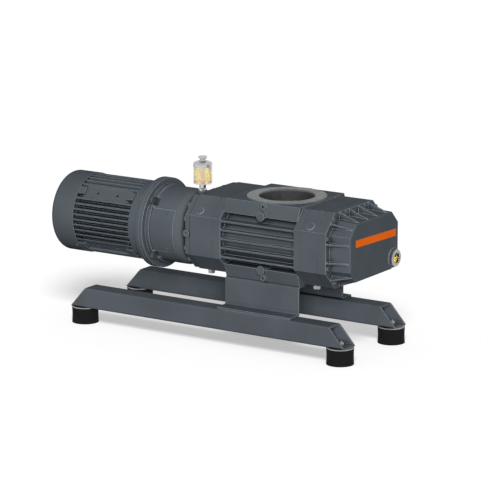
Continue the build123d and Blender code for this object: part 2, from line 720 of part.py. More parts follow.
def gear_cover():
    """Ribbed cover over the timing gears: flange, tapered shell, gusset ribs and glass boss."""
    flange = prism(GEAR_FACE, COVER_FLANGE_FACE, body_outline())
    root = octagon(COVER_ROOT_HALF_W, COVER_ROOT_HALF_H, COVER_ROOT_CHAMFER)
    face = octagon(COVER_FACE_HALF_W, COVER_FACE_HALF_H, COVER_FACE_CHAMFER)
    shell = loft([section(COVER_FLANGE_FACE) * root, section(COVER_FACE) * face])
    front = shell.faces().sort_by(Axis.X)[-1]
    shell = fillet(front.edges(), COVER_EDGE_R)
    body = flange + shell
    body += cover_ribs()
    body += rod(COVER_FACE - COVER_WALL, COVER_FACE + GLASS_BOSS_T, GLASS_BOSS_R, GLASS_Y, GLASS_Z)
    inner = octagon(COVER_FACE_HALF_W - COVER_WALL, COVER_FACE_HALF_H - COVER_WALL, COVER_FACE_CHAMFER)
    body -= prism(GEAR_FACE - 1, COVER_FACE - COVER_WALL, inner)
    body -= rod(COVER_FACE - COVER_WALL - 1, COVER_FACE + GLASS_BOSS_T + 1, GLASS_THREAD_R, GLASS_Y, GLASS_Z)
    for y, z in cover_bolt_places():
        body -= rod(GEAR_FACE - 1, COVER_FLANGE_FACE + 1, COVER_BOLT_R, y, z)
    return body


def gusset(at, outward, reach_in, reach_out, end_out):
    """Thin sloping rib along X, in the plane through at with the given outward direction."""
    x1 = COVER_FACE - RIB_END_GAP
    plane = Plane(origin=(0, at[0], AXIS_Z + at[1]), x_dir=(1, 0, 0),
                  z_dir=Vector(1, 0, 0).cross(Vector(0, outward[0], outward[1])))
    outline = Polygon(
        (COVER_FLANGE_FACE - 1, reach_in), (COVER_FLANGE_FACE - 1, reach_out),
        (COVER_FLANGE_FACE, reach_out), (x1, end_out), (x1, reach_in),
        align=None,
    )
    return extrude(plane * outline, RIB_T / 2, both=True)


def cover_ribs():
    """All gussets: two on each side, four on top and bottom, one on each chamfer."""
    ribs = []
    for side in (-1, 1):
        for up in (-1, 1):
            ribs.append(gusset((0, up * SIDE_RIB_Z), (side, 0), COVER_FACE_HALF_W - 5,
                               BODY_HALF_W - 1, COVER_FACE_HALF_W + 3.5))
            for step in (0.5, 1.5):
                ribs.append(gusset((side * step * TOP_RIB_PITCH, 0), (0, up), COVER_FACE_HALF_H - 5,
                                   BODY_HALF_H - 1, COVER_FACE_HALF_H + 1.5))
            corner = (side * SIN45, up * SIN45)
            flange_reach = (BODY_HALF_W + BODY_HALF_H - BODY_CHAMFER) * SIN45
            face_reach = (COVER_FACE_HALF_W + COVER_FACE_HALF_H - COVER_FACE_CHAMFER) * SIN45
            slide = (BODY_HALF_W - BODY_HALF_H) / 2
            middle = (side * slide, -up * slide)
            ribs.append(gusset(middle, corner, face_reach - 5, flange_reach - 1, face_reach + 1.5))
    return ribs


def cover_bolts():
    """Hexagon bolts of the gear cover."""
    bolt = hex_bolt(COVER_BOLT_R, COVER_BOLT_DEPTH, COVER_BOLT_ACROSS, COVER_BOLT_HEAD)
    return group([along_x(bolt, COVER_FLANGE_FACE, y, z) for y, z in cover_bolt_places()])


def sight_glass_ring():
    """Threaded ring of the oil sight glass with a raised rim."""
    x0 = COVER_FACE + GLASS_BOSS_T
    x1 = x0 + GLASS_RING_T - GLASS_BOSS_T
    ring = rod(x0, x1, GLASS_RING_R, GLASS_Y, GLASS_Z)
    ring += rod(COVER_FACE - COVER_WALL, x0, GLASS_THREAD_R, GLASS_Y, GLASS_Z)
    ring = chamfer(ring.faces().sort_by(Axis.X)[-1].edges(), 2.0)
    ring -= rod(COVER_FACE - COVER_WALL - 1, x1 - GLASS_LIP_T, GLASS_PANE_R - 2, GLASS_Y, GLASS_Z)
    ring -= rod(x1 - GLASS_LIP_T - GLASS_PANE_T, x1 - GLASS_LIP_T, GLASS_PANE_R, GLASS_Y, GLASS_Z)
    ring -= rod(x1 - GLASS_LIP_T - 1, x1 + 1, GLASS_WINDOW_R, GLASS_Y, GLASS_Z)
    return ring


def sight_glass_pane():
    """Round pane held behind the ring's lip."""
    x1 = COVER_FACE + GLASS_RING_T - GLASS_LIP_T
    return rod(x1 - GLASS_PANE_T, x1, GLASS_PANE_R, GLASS_Y, GLASS_Z)


def drain_plugs():
    """Hexagon drain plugs under the end housings."""
    plug = Rot(180, 0, 0) * hex_bolt(PLUG_THREAD_R, PLUG_THREAD_LENGTH, 2 * PLUG_R, PLUG_HEAD_H)
    return group([Pos(*place) * plug for place in drain_places()])


def seal_cover():
    """Cover of the drive-side bearing chamber, with the lantern's spigot and the shaft seal's neck."""
    body = prism(SEAL_PLATE_X, DRIVE_FACE, body_outline(SEAL_PLATE_SHRINK))
    body += rod(LANTERN_X1, SEAL_PLATE_X, SPIGOT_R, DRIVE_Y)
    body += rod(LANTERN_X1 - SEAL_NECK_LENGTH, SEAL_PLATE_X, SEAL_NECK_R, DRIVE_Y)
    body += upright(OILER_BOSS_TOP - OILER_BOSS_H, OILER_BOSS_TOP, OILER_BOSS_R, OILER_X, OILER_Y)
    seat_x = LANTERN_X1 - SEAL_NECK_LENGTH
    body -= rod(seat_x - 1, seat_x + SEAL_W, SEAL_R_OUT, DRIVE_Y)
    body -= rod(LANTERN_X1 - SEAL_NECK_LENGTH - 1, DRIVE_FACE + 1, DRIVE_END_R + 5, DRIVE_Y)
    body -= upright(AXIS_Z + DRIVE_END_R, OILER_BOSS_TOP + 1, OIL_PASSAGE_R, OILER_X, OILER_Y)
    for y, z in seal_cover_bolt_places():
        body -= rod(SEAL_PLATE_X - 1, DRIVE_FACE + 1, COVER_BOLT_R, y, z)
    plug_at = ((SEAL_PLATE_X + DRIVE_FACE) / 2 - 2, 0, AXIS_Z + 3)
    plane = Plane(origin=plug_at, x_dir=(1, 0, 0), z_dir=(0, -1, 0))
    plug = plane.offset(BODY_HALF_W - 8) * Circle(SIDE_PLUG_R)
    body += extrude(plug, 8 + SIDE_PLUG_PROUD)
    body -= extrude(plane.offset(BODY_HALF_W) * RegularPolygon(PLUG_SOCKET_R, 6), 10)
    for place in lantern_bolt_places():
        body -= rod(LANTERN_X1 - 1, LANTERN_X1 - LANTERN_END_T + SEAL_BOLT_LENGTH, COVER_BOLT_R, *place)
    return body


def seal_cover_bolt_places():
    """Bolts round the seal cover, clear of the lantern and of the oiler's boss."""
    side_y = BODY_HALF_W - COVER_BOLT_INSET - SEAL_PLATE_SHRINK
    top_z = BODY_HALF_H - COVER_BOLT_INSET - SEAL_PLATE_SHRINK
    corner = BODY_CHAMFER / 2 + COVER_BOLT_INSET * SIN45
    places = []
    for up in (-1, 1):
        places += [(side * side_y, up * SIDE_BOLT_Z) for side in (-1, 1)]
        places += [(side * (BODY_HALF_W - corner), up * (BODY_HALF_H - corner)) for side in (-1, 1)]
        places += [(DRIVEN_Y, up * top_z), (0, up * top_z)]
    return places


def seal_side_bolts():
    """Equal bolts of the seal cover and, from inside, of the lantern; heads towards the motor."""
    bolt = hex_bolt(COVER_BOLT_R, SEAL_BOLT_LENGTH, COVER_BOLT_ACROSS, COVER_BOLT_HEAD)
    bolts = [along_x(bolt, SEAL_PLATE_X, y, z, -1) for y, z in seal_cover_bolt_places()]
    seat = LANTERN_X1 - LANTERN_END_T
    bolts += [along_x(bolt, seat, y, z, -1) for y, z in lantern_bolt_places()]
    return group(bolts)


def shaft_seal():
    """Lip seal round the drive shaft in the seal cover's neck."""
    x0 = LANTERN_X1 - SEAL_NECK_LENGTH
    return tube(x0, x0 + SEAL_W, SEAL_R_OUT, DRIVE_END_R + SEAL_CLEARANCE, DRIVE_Y)


# ---------------------------------------------------------------- lantern and coupling

def guard_sector(r_in, r_out, x0, x1, side):
    """Curved plate on the lantern's side, centred on the horizontal."""
    ring = Circle(r_out) - Circle(r_in)
    reach = r_out * 2
    spread = reach * tan(radians(GUARD_HALF_ANGLE))
    wedge = Polygon((0, 0), (side * reach, spread), (side * reach, -spread), align=None)
    return prism(x0, x1, ring & wedge, DRIVE_Y)


def lantern():
    """Bell housing between motor and pump: flange, barrel with a rounded shoulder, two windows."""
    outer = rod(LANTERN_X0, LANTERN_X1, LANTERN_R, DRIVE_Y)
    outer = fillet(outer.faces().sort_by(Axis.X)[-1].edges(), LANTERN_SHOULDER_R)
    outer += rod(MOTOR_FACE, LANTERN_X0, MOTOR_FLANGE_R, DRIVE_Y)
    outer += rod(LANTERN_X0, LANTERN_X0 + LANTERN_STEP_T, LANTERN_STEP_R, DRIVE_Y)
    cavity = rod(MOTOR_FACE - 1, LANTERN_X1 - LANTERN_END_T, LANTERN_R - LANTERN_WALL, DRIVE_Y)
    cavity = fillet(cavity.faces().sort_by(Axis.X)[-1].edges(), LANTERN_SHOULDER_R - LANTERN_WALL)
    outer -= cavity
    outer += tube(MOTOR_FACE, LANTERN_X0, LANTERN_R, MOTOR_SPIGOT_R, DRIVE_Y)
    outer -= rod(LANTERN_X1 - LANTERN_END_T - 1, LANTERN_X1 + 1, LANTERN_END_HOLE_R, DRIVE_Y)
    barrel = rod(MOTOR_FACE, LANTERN_X1, LANTERN_R, DRIVE_Y)
    for y, z in motor_bolt_places():
        boss_x1 = LANTERN_X0 + POCKET_LENGTH + LANTERN_WALL
        boss = rod(MOTOR_FACE, boss_x1, POCKET_R + LANTERN_WALL, y, z) & barrel
        outer += boss - rod(MOTOR_FACE - 1, LANTERN_X1, MOTOR_SPIGOT_R, DRIVE_Y)
    x0 = LANTERN_X0 + GUARD_START
    for side in (-1, 1):
        outer -= guard_sector(MOTOR_SPIGOT_R - 2, LANTERN_STEP_R + 2, x0, x0 + GUARD_LENGTH, side)
    for y, z in motor_bolt_places():
        outer -= rod(LANTERN_X0, LANTERN_X0 + POCKET_LENGTH, POCKET_R, y, z)
        outer -= rod(MOTOR_FACE - 1, LANTERN_X0 + 1, MOTOR_BOLT_R, y, z)
    for y, z in lantern_bolt_places():
        outer -= rod(LANTERN_X1 - LANTERN_END_T - 1, LANTERN_X1 + 1, COVER_BOLT_R, y, z)
    return outer


def coupling_guards():
    """Curved plates that close the lantern's two side windows."""
    x0 = LANTERN_X0 + GUARD_START
    plates = []
    for side in (-1, 1):
        x1 = x0 + GUARD_LENGTH - GUARD_FIT
        plate = guard_sector(LANTERN_R - GUARD_T, LANTERN_R, x0 + GUARD_FIT, x1, side)
        plates.append(plate)
    return group(plates)


def lantern_bolt_places():
    """Screws that hold the lantern to the seal cover, as (y, z) from the pump axis."""
    step = 360 / LANTERN_BOLT_COUNT
    places = []
    for index in range(LANTERN_BOLT_COUNT):
        angle = radians(step * (index + 0.5))
        places.append((DRIVE_Y + LANTERN_BOLT_CIRCLE_R * cos(angle), LANTERN_BOLT_CIRCLE_R * sin(angle)))
    return places


def motor_bolt_places():
    """Flange bolts between motor and lantern, at forty-five degrees."""
    places = []
    for index in range(MOTOR_BOLT_COUNT):
        angle = radians(360 / MOTOR_BOLT_COUNT * (index + 0.5))
        places.append((DRIVE_Y + MOTOR_BOLT_CIRCLE_R * cos(angle), MOTOR_BOLT_CIRCLE_R * sin(angle)))
    return places


def claws(x0, x1, turn):
    """Ring of coupling claws."""
    pieces = []
    for index in range(CLAW_COUNT):
        middle = turn + 360 / CLAW_COUNT * index
        pieces.append(prism(x0, x1, ring_sector(CLAW_R_IN, HUB_R, middle, CLAW_ANGLE), DRIVE_Y))
    return pieces


def ring_sector(r_in, r_out, middle, spread):
    """Flat sector of a ring about the origin."""
    reach = 2 * r_out
    a0 = radians(middle - spread / 2)
    a1 = radians(middle + spread / 2)
    corners = [(0, 0), (reach * cos(a0), reach * sin(a0)), (reach * cos(a1), reach * sin(a1))]
    wedge = Polygon(*corners, align=None)
    return (Circle(r_out) - Circle(r_in)) & wedge


def motor_coupling_hub():
    """Coupling half on the motor shaft."""
    hub = rod(HUB_FACE - HUB_LENGTH, HUB_FACE, HUB_R, DRIVE_Y)
    hub += claws(HUB_FACE - 1, PUMP_HUB_X - SPIDER_GAP, 0)
    return hub - rod(HUB_FACE - HUB_LENGTH - 1, HUB_FACE + 1, MOTOR_SHAFT_END_R, DRIVE_Y)


def pump_coupling_hub():
    """Coupling half on the pump's drive shaft."""
    hub = rod(PUMP_HUB_X, PUMP_HUB_X + HUB_LENGTH - 8, HUB_R, DRIVE_Y)
    hub += claws(HUB_FACE + SPIDER_GAP, PUMP_HUB_X + 1, 180 / CLAW_COUNT)
    return hub - rod(PUMP_HUB_X - 1, PUMP_HUB_X + HUB_LENGTH, DRIVE_END_R, DRIVE_Y)


def coupling_spider():
    """Elastic star between the claws."""
    x0 = HUB_FACE + SPIDER_GAP
    x1 = PUMP_HUB_X - SPIDER_GAP
    star = rod(x0, x1, SPIDER_CORE_R, DRIVE_Y)
    for index in range(2 * CLAW_COUNT):
        middle = 180 / CLAW_COUNT * (index + 0.5)
        star += prism(x0, x1, ring_sector(SPIDER_CORE_R - 1, HUB_R - 1, middle, SPIDER_ANGLE), DRIVE_Y)
    return star


# ---------------------------------------------------------------- rotating pump parts

def lobe_outline():
    """Two-lobe rotor outline: round tips joined by their exact conjugate waists."""
    pitch = CENTRE_DISTANCE / 2
    tip_centre = (LOBE_R ** 2 - pitch ** 2) / (2 * LOBE_R - sqrt(2) * pitch)
    tip_r = LOBE_R - tip_centre
    gap = tip_r + MESH_CLEARANCE
    waist = []
    for step in range(WAIST_POINTS):
        angle = radians(-45 + 90 * step / (WAIST_POINTS - 1))
        px = CENTRE_DISTANCE * cos(angle) - tip_centre * cos(2 * angle)
        py = CENTRE_DISTANCE * sin(angle) - tip_centre * sin(2 * angle)
        dx = -CENTRE_DISTANCE * sin(angle) + 2 * tip_centre * sin(2 * angle)
        dy = CENTRE_DISTANCE * cos(angle) - 2 * tip_centre * cos(2 * angle)
        length = hypot(dx, dy)
        waist.append((px - gap * dy / length, py + gap * dx / length))
    right = Spline(*waist)
    left = Spline(*[(-x, -y) for x, y in waist])
    top = ThreePointArc(right @ 1, (0, LOBE_R), left @ 0)
    bottom = ThreePointArc(left @ 1, (0, -LOBE_R), right @ 0)
    return make_face([right, top, left, bottom])


def lobe_rotor(y, turn):
    """Cast rotor with its shaft bore."""
    body = prism(ROTOR_X0, ROTOR_X1, Rot(0, 0, turn) * lobe_outline(), y)
    return body - rod(ROTOR_X0 - 1, ROTOR_X1 + 1, SHAFT_R, y)


def rotor_shaft(x_end, y):
    """Stepped shaft from its drive end to the gear lock nut."""
    bearing_end = GEAR_BEARING_X + BEARING_W
    shaft = rod(DRIVE_BEARING_X + BEARING_W, GEAR_BEARING_X, SHAFT_R, y)
    shaft += rod(DRIVE_BEARING_X - 12, DRIVE_BEARING_X + BEARING_W, BEARING_R_IN, y)
    shaft += rod(GEAR_BEARING_X, bearing_end + GEAR_GAP - 4, BEARING_R_IN, y)
    shaft += rod(bearing_end, LOCK_NUT_X, GEAR_SEAT_R, y)
    shaft += rod(LOCK_NUT_X, LOCK_NUT_X + LOCK_NUT_W + 2, NUT_SEAT_R, y)
    if x_end < DRIVE_BEARING_X - 12:
        shaft += rod(x_end, DRIVE_BEARING_X, DRIVE_END_R, y)
    return shaft


def involute_point(base_r, r):
    """Polar angle of the involute at radius r."""
    alpha = sqrt((r / base_r) ** 2 - 1)
    return alpha - atan2(alpha, 1)


def gear_outline(turn):
    """Spur gear outline with involute flanks; turn is the angle of its first tooth."""
    pitch_r = GEAR_MODULE * GEAR_TEETH / 2
    base_r = pitch_r * cos(radians(PRESSURE_ANGLE))
    tip_r = pitch_r + GEAR_MODULE
    root_r = pitch_r - 1.25 * GEAR_MODULE
    half_tooth = pi / (2 * GEAR_TEETH) - GEAR_BACKLASH / (2 * pitch_r) + involute_point(base_r, pitch_r)
    start_r = base_r + 0.02

    def flank(r, side, middle):
        angle = middle + side * (half_tooth - involute_point(base_r, max(r, start_r)))
        return (r * cos(angle), r * sin(angle))

    edges = []
    for index in range(GEAR_TEETH):
        middle = radians(turn + 360 * index / GEAR_TEETH)
        following = radians(turn + 360 * (index + 1) / GEAR_TEETH)
        middle_r = (start_r + tip_r) / 2
        edges.append(Line(flank(root_r, -1, middle), flank(start_r, -1, middle)))
        rising = [flank(r, -1, middle) for r in (start_r, middle_r, tip_r)]
        falling = [flank(r, 1, middle) for r in (tip_r, middle_r, start_r)]
        edges.append(ThreePointArc(*rising))
        edges.append(Line(flank(tip_r, -1, middle), flank(tip_r, 1, middle)))
        edges.append(ThreePointArc(*falling))
        edges.append(Line(flank(start_r, 1, middle), flank(root_r, 1, middle)))
        edges.append(Line(flank(root_r, 1, middle), flank(root_r, -1, following)))
    return make_face(edges)


def timing_gear(y, turn):
    """Timing gear with a recessed web."""
    gear = prism(GEAR_X, LOCK_NUT_X, gear_outline(turn), y)
    rim_r = GEAR_MODULE * GEAR_TEETH / 2 - 3 * GEAR_MODULE
    gear -= tube(LOCK_NUT_X - GEAR_WEB_RECESS, LOCK_NUT_X + 1, rim_r, GEAR_HUB_R, y)
    return gear - rod(GEAR_X - 1, LOCK_NUT_X + 1, GEAR_SEAT_R, y)


def lock_nut(y):
    """Slotted shaft nut that holds a timing gear."""
    nut = tube(LOCK_NUT_X, LOCK_NUT_X + LOCK_NUT_W, LOCK_NUT_R, NUT_SEAT_R, y)
    for angle in range(0, 360, 90):
        slot = Rot(0, 0, angle) * Pos(LOCK_NUT_R, 0) * Rectangle(5, LOCK_NUT_SLOT)
        nut -= prism(LOCK_NUT_X - 1, LOCK_NUT_X + LOCK_NUT_W + 1, slot, y)
    return nut


def bearing_seats(y):
    """Start of each of a shaft's two bearings, as (x, y)."""
    return [(DRIVE_BEARING_X, y), (GEAR_BEARING_X, y)]


def bearing_outer_rings():
    """Outer rings of the four cylindrical roller bearings."""
    seats = bearing_seats(DRIVE_Y) + bearing_seats(DRIVEN_Y)
    return group([
        tube(x, x + BEARING_W, BEARING_R_OUT, BEARING_R_OUT - BEARING_RING_T, y) for x, y in seats
    ])


def bearing_cores(y):
    """One shaft's two inner rings, each with its rollers, which ride round with it."""
    track_r = (BEARING_R_OUT + BEARING_R_IN) / 2
    pieces = []
    for x, _ in bearing_seats(y):
        pieces.append(tube(x, x + BEARING_W, BEARING_R_IN + BEARING_RING_T, BEARING_R_IN, y))
        for index in range(ROLLER_COUNT):
            angle = radians(360 * index / ROLLER_COUNT)
            place = (y + track_r * cos(angle), track_r * sin(angle))
            pieces.append(rod(x + ROLLER_INSET, x + BEARING_W - ROLLER_INSET, ROLLER_R, *place))
    return group(pieces)


def chamber_seals():
    """Four ring seals between the pump chamber and the bearings."""
    inner = SHAFT_R + CHAMBER_SEAL_CLEARANCE
    rings = []
    for y in (DRIVE_Y, DRIVEN_Y):
        for x in (DRIVE_SEAL_X, CYLINDER_X1):
            rings.append(tube(x, x + CHAMBER_SEAL_W, CHAMBER_SEAL_R, inner, y))
    return group(rings)


def oil_slinger(y):
    """Thin splash disc behind the driven timing gear's nut."""
    x0 = LOCK_NUT_X + LOCK_NUT_W
    return tube(x0, x0 + SLINGER_T, SLINGER_R, NUT_SEAT_R, y)


# ---------------------------------------------------------------- motor

def motor_frame():
    """Finned stator housing with four foot pads and end lugs."""
    x1 = SHIELD_X0
    body = rod(FRAME_X0, x1, FRAME_CORE_R, DRIVE_Y)
    envelope = rod(FRAME_X0, x1, FRAME_FIN_R, DRIVE_Y)
    fins = Sketch()
    for index in range(FRAME_FINS_PER_SIDE):
        shift = (index - (FRAME_FINS_PER_SIDE - 1) / 2) * FRAME_FIN_PITCH
        fins += Pos(0, shift) * Rectangle(2 * FRAME_FIN_R, FRAME_FIN_T)
        fins += Pos(shift, 0) * Rectangle(FRAME_FIN_T, 2 * FRAME_FIN_R)
    fins = fins & (Circle(FRAME_FIN_R) - Circle(FRAME_CORE_R - 1))
    body += prism(FRAME_X0, x1, fins, DRIVE_Y)
    middle = (FRAME_X0 + x1) / 2
    for index in range(4):
        turn = 45 + 90 * index
        pad = Rot(0, 0, turn) * Pos(PAD_FACE_R - 12, 0) * Rectangle(24, PAD_W)
        body += prism(middle - PAD_LENGTH / 2, middle + PAD_LENGTH / 2, pad, DRIVE_Y)
        lug = Rot(0, 0, turn) * Pos(LUG_R - 12, 0) * Rectangle(24, LUG_W)
        body += prism(FRAME_X0, FRAME_X0 + LUG_LENGTH, lug, DRIVE_Y)
        body += prism(x1 - LUG_LENGTH, x1, lug, DRIVE_Y)
        out = Vector(0, cos(radians(turn)), sin(radians(turn)))
        for step in (-1, 1):
            at = Vector(middle + step * PAD_HOLE_SPACING / 2, DRIVE_Y, AXIS_Z)
            at += out * (PAD_FACE_R - PAD_HOLE_DEPTH)
            hole = Plane(origin=at, x_dir=(1, 0, 0), z_dir=out)
            body -= extrude(hole * Circle(PAD_HOLE_R), PAD_HOLE_DEPTH + 1)
    return body - rod(FRAME_X0 - 1, x1 + 1, FRAME_BORE_R, DRIVE_Y)


def front_shield():
    """Drive-end shield with the mounting flange and the front bearing seat."""
    rim_end = SHIELD_X0 + SHIELD_RIM
    flange_x0 = MOTOR_FACE - MOTOR_FLANGE_T
    body = rod(SHIELD_X0, rim_end, SHIELD_R, DRIVE_Y)
    rim = section(rim_end, DRIVE_Y) * Circle(SHIELD_R)
    body += loft([rim, section(flange_x0, DRIVE_Y) * Circle(LANTERN_R)])
    body += rod(flange_x0, MOTOR_FACE, MOTOR_FLANGE_R, DRIVE_Y)
    body += rod(MOTOR_FACE, MOTOR_FACE + MOTOR_SPIGOT_T, MOTOR_SPIGOT_R, DRIVE_Y)
    body -= rod(SHIELD_X0 - 1, FRONT_BEARING_X, FRAME_BORE_R - 6, DRIVE_Y)
    seat_end = FRONT_BEARING_X + MOTOR_BEARING_W
    body -= rod(FRONT_BEARING_X - 1, seat_end, MOTOR_BEARING_R_OUT, DRIVE_Y)
    body -= rod(seat_end - 1, MOTOR_FACE + MOTOR_SPIGOT_T + 1, MOTOR_SHAFT_R + 2, DRIVE_Y)
    recess_x1 = MOTOR_FACE + MOTOR_SPIGOT_T + 1
    body -= tube(flange_x0 + 3, recess_x1, MOTOR_SPIGOT_R - 10, MOTOR_SHAFT_R + 14, DRIVE_Y)
    for y, z in motor_bolt_places():
        body -= rod(flange_x0 - 1, MOTOR_FACE + 1, MOTOR_BOLT_R, y, z)
        body -= rod(rim_end + 1, flange_x0, SHIELD_POCKET_R, y, z)
    return body


def motor_flange_bolts():
    """Hexagon bolts with nuts through both flanges; heads towards the pump."""
    bolt = hex_bolt(MOTOR_BOLT_R, 2 * MOTOR_FLANGE_T + MOTOR_BOLT_HEAD, MOTOR_BOLT_ACROSS, MOTOR_BOLT_HEAD)
    nut = Pos(0, 0, -2 * MOTOR_FLANGE_T - MOTOR_BOLT_HEAD) * hexagon_bar(MOTOR_BOLT_HEAD, MOTOR_BOLT_ACROSS)
    return group([along_x(bolt + nut, LANTERN_X0, y, z) for y, z in motor_bolt_places()])


def rear_shield():
    """Rear end shield with its bearing seat."""
    x0 = FRAME_X0 - REAR_SHIELD_T
    body = rod(x0, FRAME_X0, FRAME_CORE_R + 4, DRIVE_Y)
    body += rod(REAR_BEARING_X - 4, x0, MOTOR_BEARING_R_OUT + 8, DRIVE_Y)
    body -= tube(x0 + 6, FRAME_X0 + 1, FRAME_BORE_R - 6, MOTOR_BEARING_R_OUT + 8, DRIVE_Y)
    body -= rod(REAR_BEARING_X, FRAME_X0 + 1, MOTOR_BEARING_R_OUT, DRIVE_Y)
    return body - rod(REAR_BEARING_X - 6, REAR_BEARING_X + 1, MOTOR_SHAFT_R + 2, DRIVE_Y)


def stator_core():
    """Laminated stator ring with winding slots open to its bore."""
    ring = Circle(FRAME_BORE_R) - Circle(STATOR_BORE_R)
    for index in range(SLOT_COUNT):
        slot = Pos(STATOR_BORE_R + SLOT_DEPTH / 2, 0) * Rectangle(SLOT_DEPTH + 2, SLOT_W)
        ring -= Rot(0, 0, 360 / SLOT_COUNT * index) * slot
    return prism(STATOR_X0, STATOR_X0 + STATOR_LENGTH, ring, DRIVE_Y)


def stator_windings():
    """Copper: bars in the slots and a ring of end turns at each end."""
    x1 = STATOR_X0 + STATOR_LENGTH
    r_in = STATOR_BORE_R + 3
    r_out = STATOR_BORE_R + SLOT_DEPTH - 1
    coil = tube(STATOR_X0 - WINDING_LENGTH, STATOR_X0, r_out + 6, r_in, DRIVE_Y)
    coil += tube(x1, x1 + WINDING_LENGTH, r_out + 6, r_in, DRIVE_Y)
    for index in range(SLOT_COUNT):
        bar = Pos((r_in + r_out) / 2 + 1, 0) * Rectangle(r_out - r_in, SLOT_W - 0.4)
        coil += prism(STATOR_X0 - 1, x1 + 1, Rot(0, 0, 360 / SLOT_COUNT * index) * bar, DRIVE_Y)
    return coil


def rotor_core():
    """Squirrel-cage rotor body with its end rings."""
    x1 = STATOR_X0 + STATOR_LENGTH
    core = rod(STATOR_X0, x1, STATOR_BORE_R - AIR_GAP, DRIVE_Y)
    core += rod(STATOR_X0 - ROTOR_RING_LENGTH, x1 + ROTOR_RING_LENGTH, STATOR_BORE_R - 4, DRIVE_Y)
    return core - rod(FRAME_X0, SHIELD_X0, MOTOR_SHAFT_R + 3, DRIVE_Y)


def motor_shaft():
    """Motor shaft from the fan seat to the coupling seat."""
    front = FRONT_BEARING_X + MOTOR_BEARING_W
    shaft = rod(REAR_BEARING_X, front, MOTOR_SHAFT_R, DRIVE_Y)
    shaft += rod(STATOR_X0 - ROTOR_RING_LENGTH, STATOR_X0 + STATOR_LENGTH + ROTOR_RING_LENGTH,
                 MOTOR_SHAFT_R + 3, DRIVE_Y)
    shaft += rod(front, HUB_FACE, MOTOR_SHAFT_END_R, DRIVE_Y)
    return shaft + rod(FAN_X0 - 2, REAR_BEARING_X, MOTOR_SHAFT_END_R - 2, DRIVE_Y)


def motor_bearings():
    """Start of each motor bearing."""
    return (REAR_BEARING_X, FRONT_BEARING_X)


def motor_bearing_outers():
    """Outer rings of the sealed motor bearings, with their shields."""
    return group([
        tube(x, x + MOTOR_BEARING_W, MOTOR_BEARING_R_OUT, MOTOR_BEARING_SPLIT_R + 0.2, DRIVE_Y)
        for x in motor_bearings()
    ])


def motor_bearing_inners():
    """Inner rings of the sealed motor bearings."""
    return group([
        tube(x, x + MOTOR_BEARING_W, MOTOR_BEARING_SPLIT_R, MOTOR_SHAFT_R, DRIVE_Y) for x in motor_bearings()
    ])


def motor_fan():
    """Radial fan with a back disc, straight blades and a hub."""
    fan = rod(FAN_X1 - FAN_BACK_T, FAN_X1, FAN_R, DRIVE_Y) + rod(FAN_X0, FAN_X1, FAN_HUB_R, DRIVE_Y)
    for index in range(FAN_BLADES):
        blade = Pos((FAN_R + FAN_HUB_R) / 2 - 2, 0) * Rectangle(FAN_R - FAN_HUB_R + 4, FAN_BLADE_T)
        fan += prism(FAN_X0 + 2, FAN_X1 - 1, Rot(0, 0, 360 / FAN_BLADES * index) * blade, DRIVE_Y)
    return fan - rod(FAN_X0 - 1, FAN_X1 + 1, MOTOR_SHAFT_END_R - 2, DRIVE_Y)


def fan_cover():
    """Pressed cowl over the fan, with a slotted air inlet at the back."""
    outer = rod(FAN_COVER_X0, FRAME_X0, FAN_COVER_R, DRIVE_Y)
    outer = fillet(outer.faces().sort_by(Axis.X)[0].edges(), FAN_COVER_EDGE_R)
    inner = rod(FAN_COVER_X0 + FAN_COVER_T, FRAME_X0 + 1, FAN_COVER_R - FAN_COVER_T, DRIVE_Y)
    inner = fillet(inner.faces().sort_by(Axis.X)[0].edges(), FAN_COVER_EDGE_R - FAN_COVER_T)
    cowl = outer - inner
    slots = Sketch()
    inner_row = (FAN_SLOT_IN_R, FAN_SLOT_WEB_R - FAN_SLOT_WEB / 2)
    outer_row = (FAN_SLOT_WEB_R + FAN_SLOT_WEB / 2, FAN_COVER_R - FAN_SLOT_RIM)
    for r_in, r_out in (inner_row, outer_row):
        for index in range(FAN_SLOT_COUNT):
            slot = Pos((r_in + r_out) / 2, 0) * Rectangle(r_out - r_in, FAN_SLOT_W)
            slots += Rot(0, 0, 360 / FAN_SLOT_COUNT * index) * slot
    return cowl - prism(FAN_COVER_X0 - 1, FAN_COVER_X0 + FAN_COVER_T + 1, slots, DRIVE_Y)


def box_plane(y):
    """Plane parallel to the motor's far side, facing away from the pump's near side."""
    return Plane(origin=(BOX_X, y, AXIS_Z), x_dir=(-1, 0, 0), z_dir=(0, 1, 0))


def terminal_box():
    """Open terminal box on the motor's far side, standing on the frame."""
    outer = RectangleRounded(BOX_LENGTH, BOX_WIDTH, BOX_CORNER_R)
    inner = RectangleRounded(BOX_LENGTH - 2 * BOX_WALL, BOX_WIDTH - 2 * BOX_WALL, BOX_CORNER_R - BOX_WALL)
    body = extrude(box_plane(BOX_Y0) * outer, BOX_Y1 - BOX_Y0)
    body -= extrude(box_plane(DRIVE_Y + FRAME_FIN_R + BOX_WALL) * inner, BOX_DEPTH)
    body -= rod(FRAME_X0 - 20, SHIELD_X0 + 20, FRAME_FIN_R, DRIVE_Y)
    cable = upright(AXIS_Z - BOX_WIDTH / 2 - 1, AXIS_Z - BOX_WIDTH / 2 + BOX_WALL + 1, GLAND_R, BOX_X,
                    gland_y())
    return body - cable


def gland_y():
    """Distance of the cable gland from the centre plane."""
    return (DRIVE_Y + FRAME_FIN_R + BOX_WALL + BOX_Y1) / 2 + 1


def terminal_box_lid():
    """Lid of the terminal box with a rounded rim."""
    lid = extrude(box_plane(BOX_Y1) * RectangleRounded(BOX_LENGTH, BOX_WIDTH, BOX_CORNER_R), LID_T)
    return fillet(lid.faces().sort_by(Axis.Y)[-1].edges(), LID_EDGE_R)


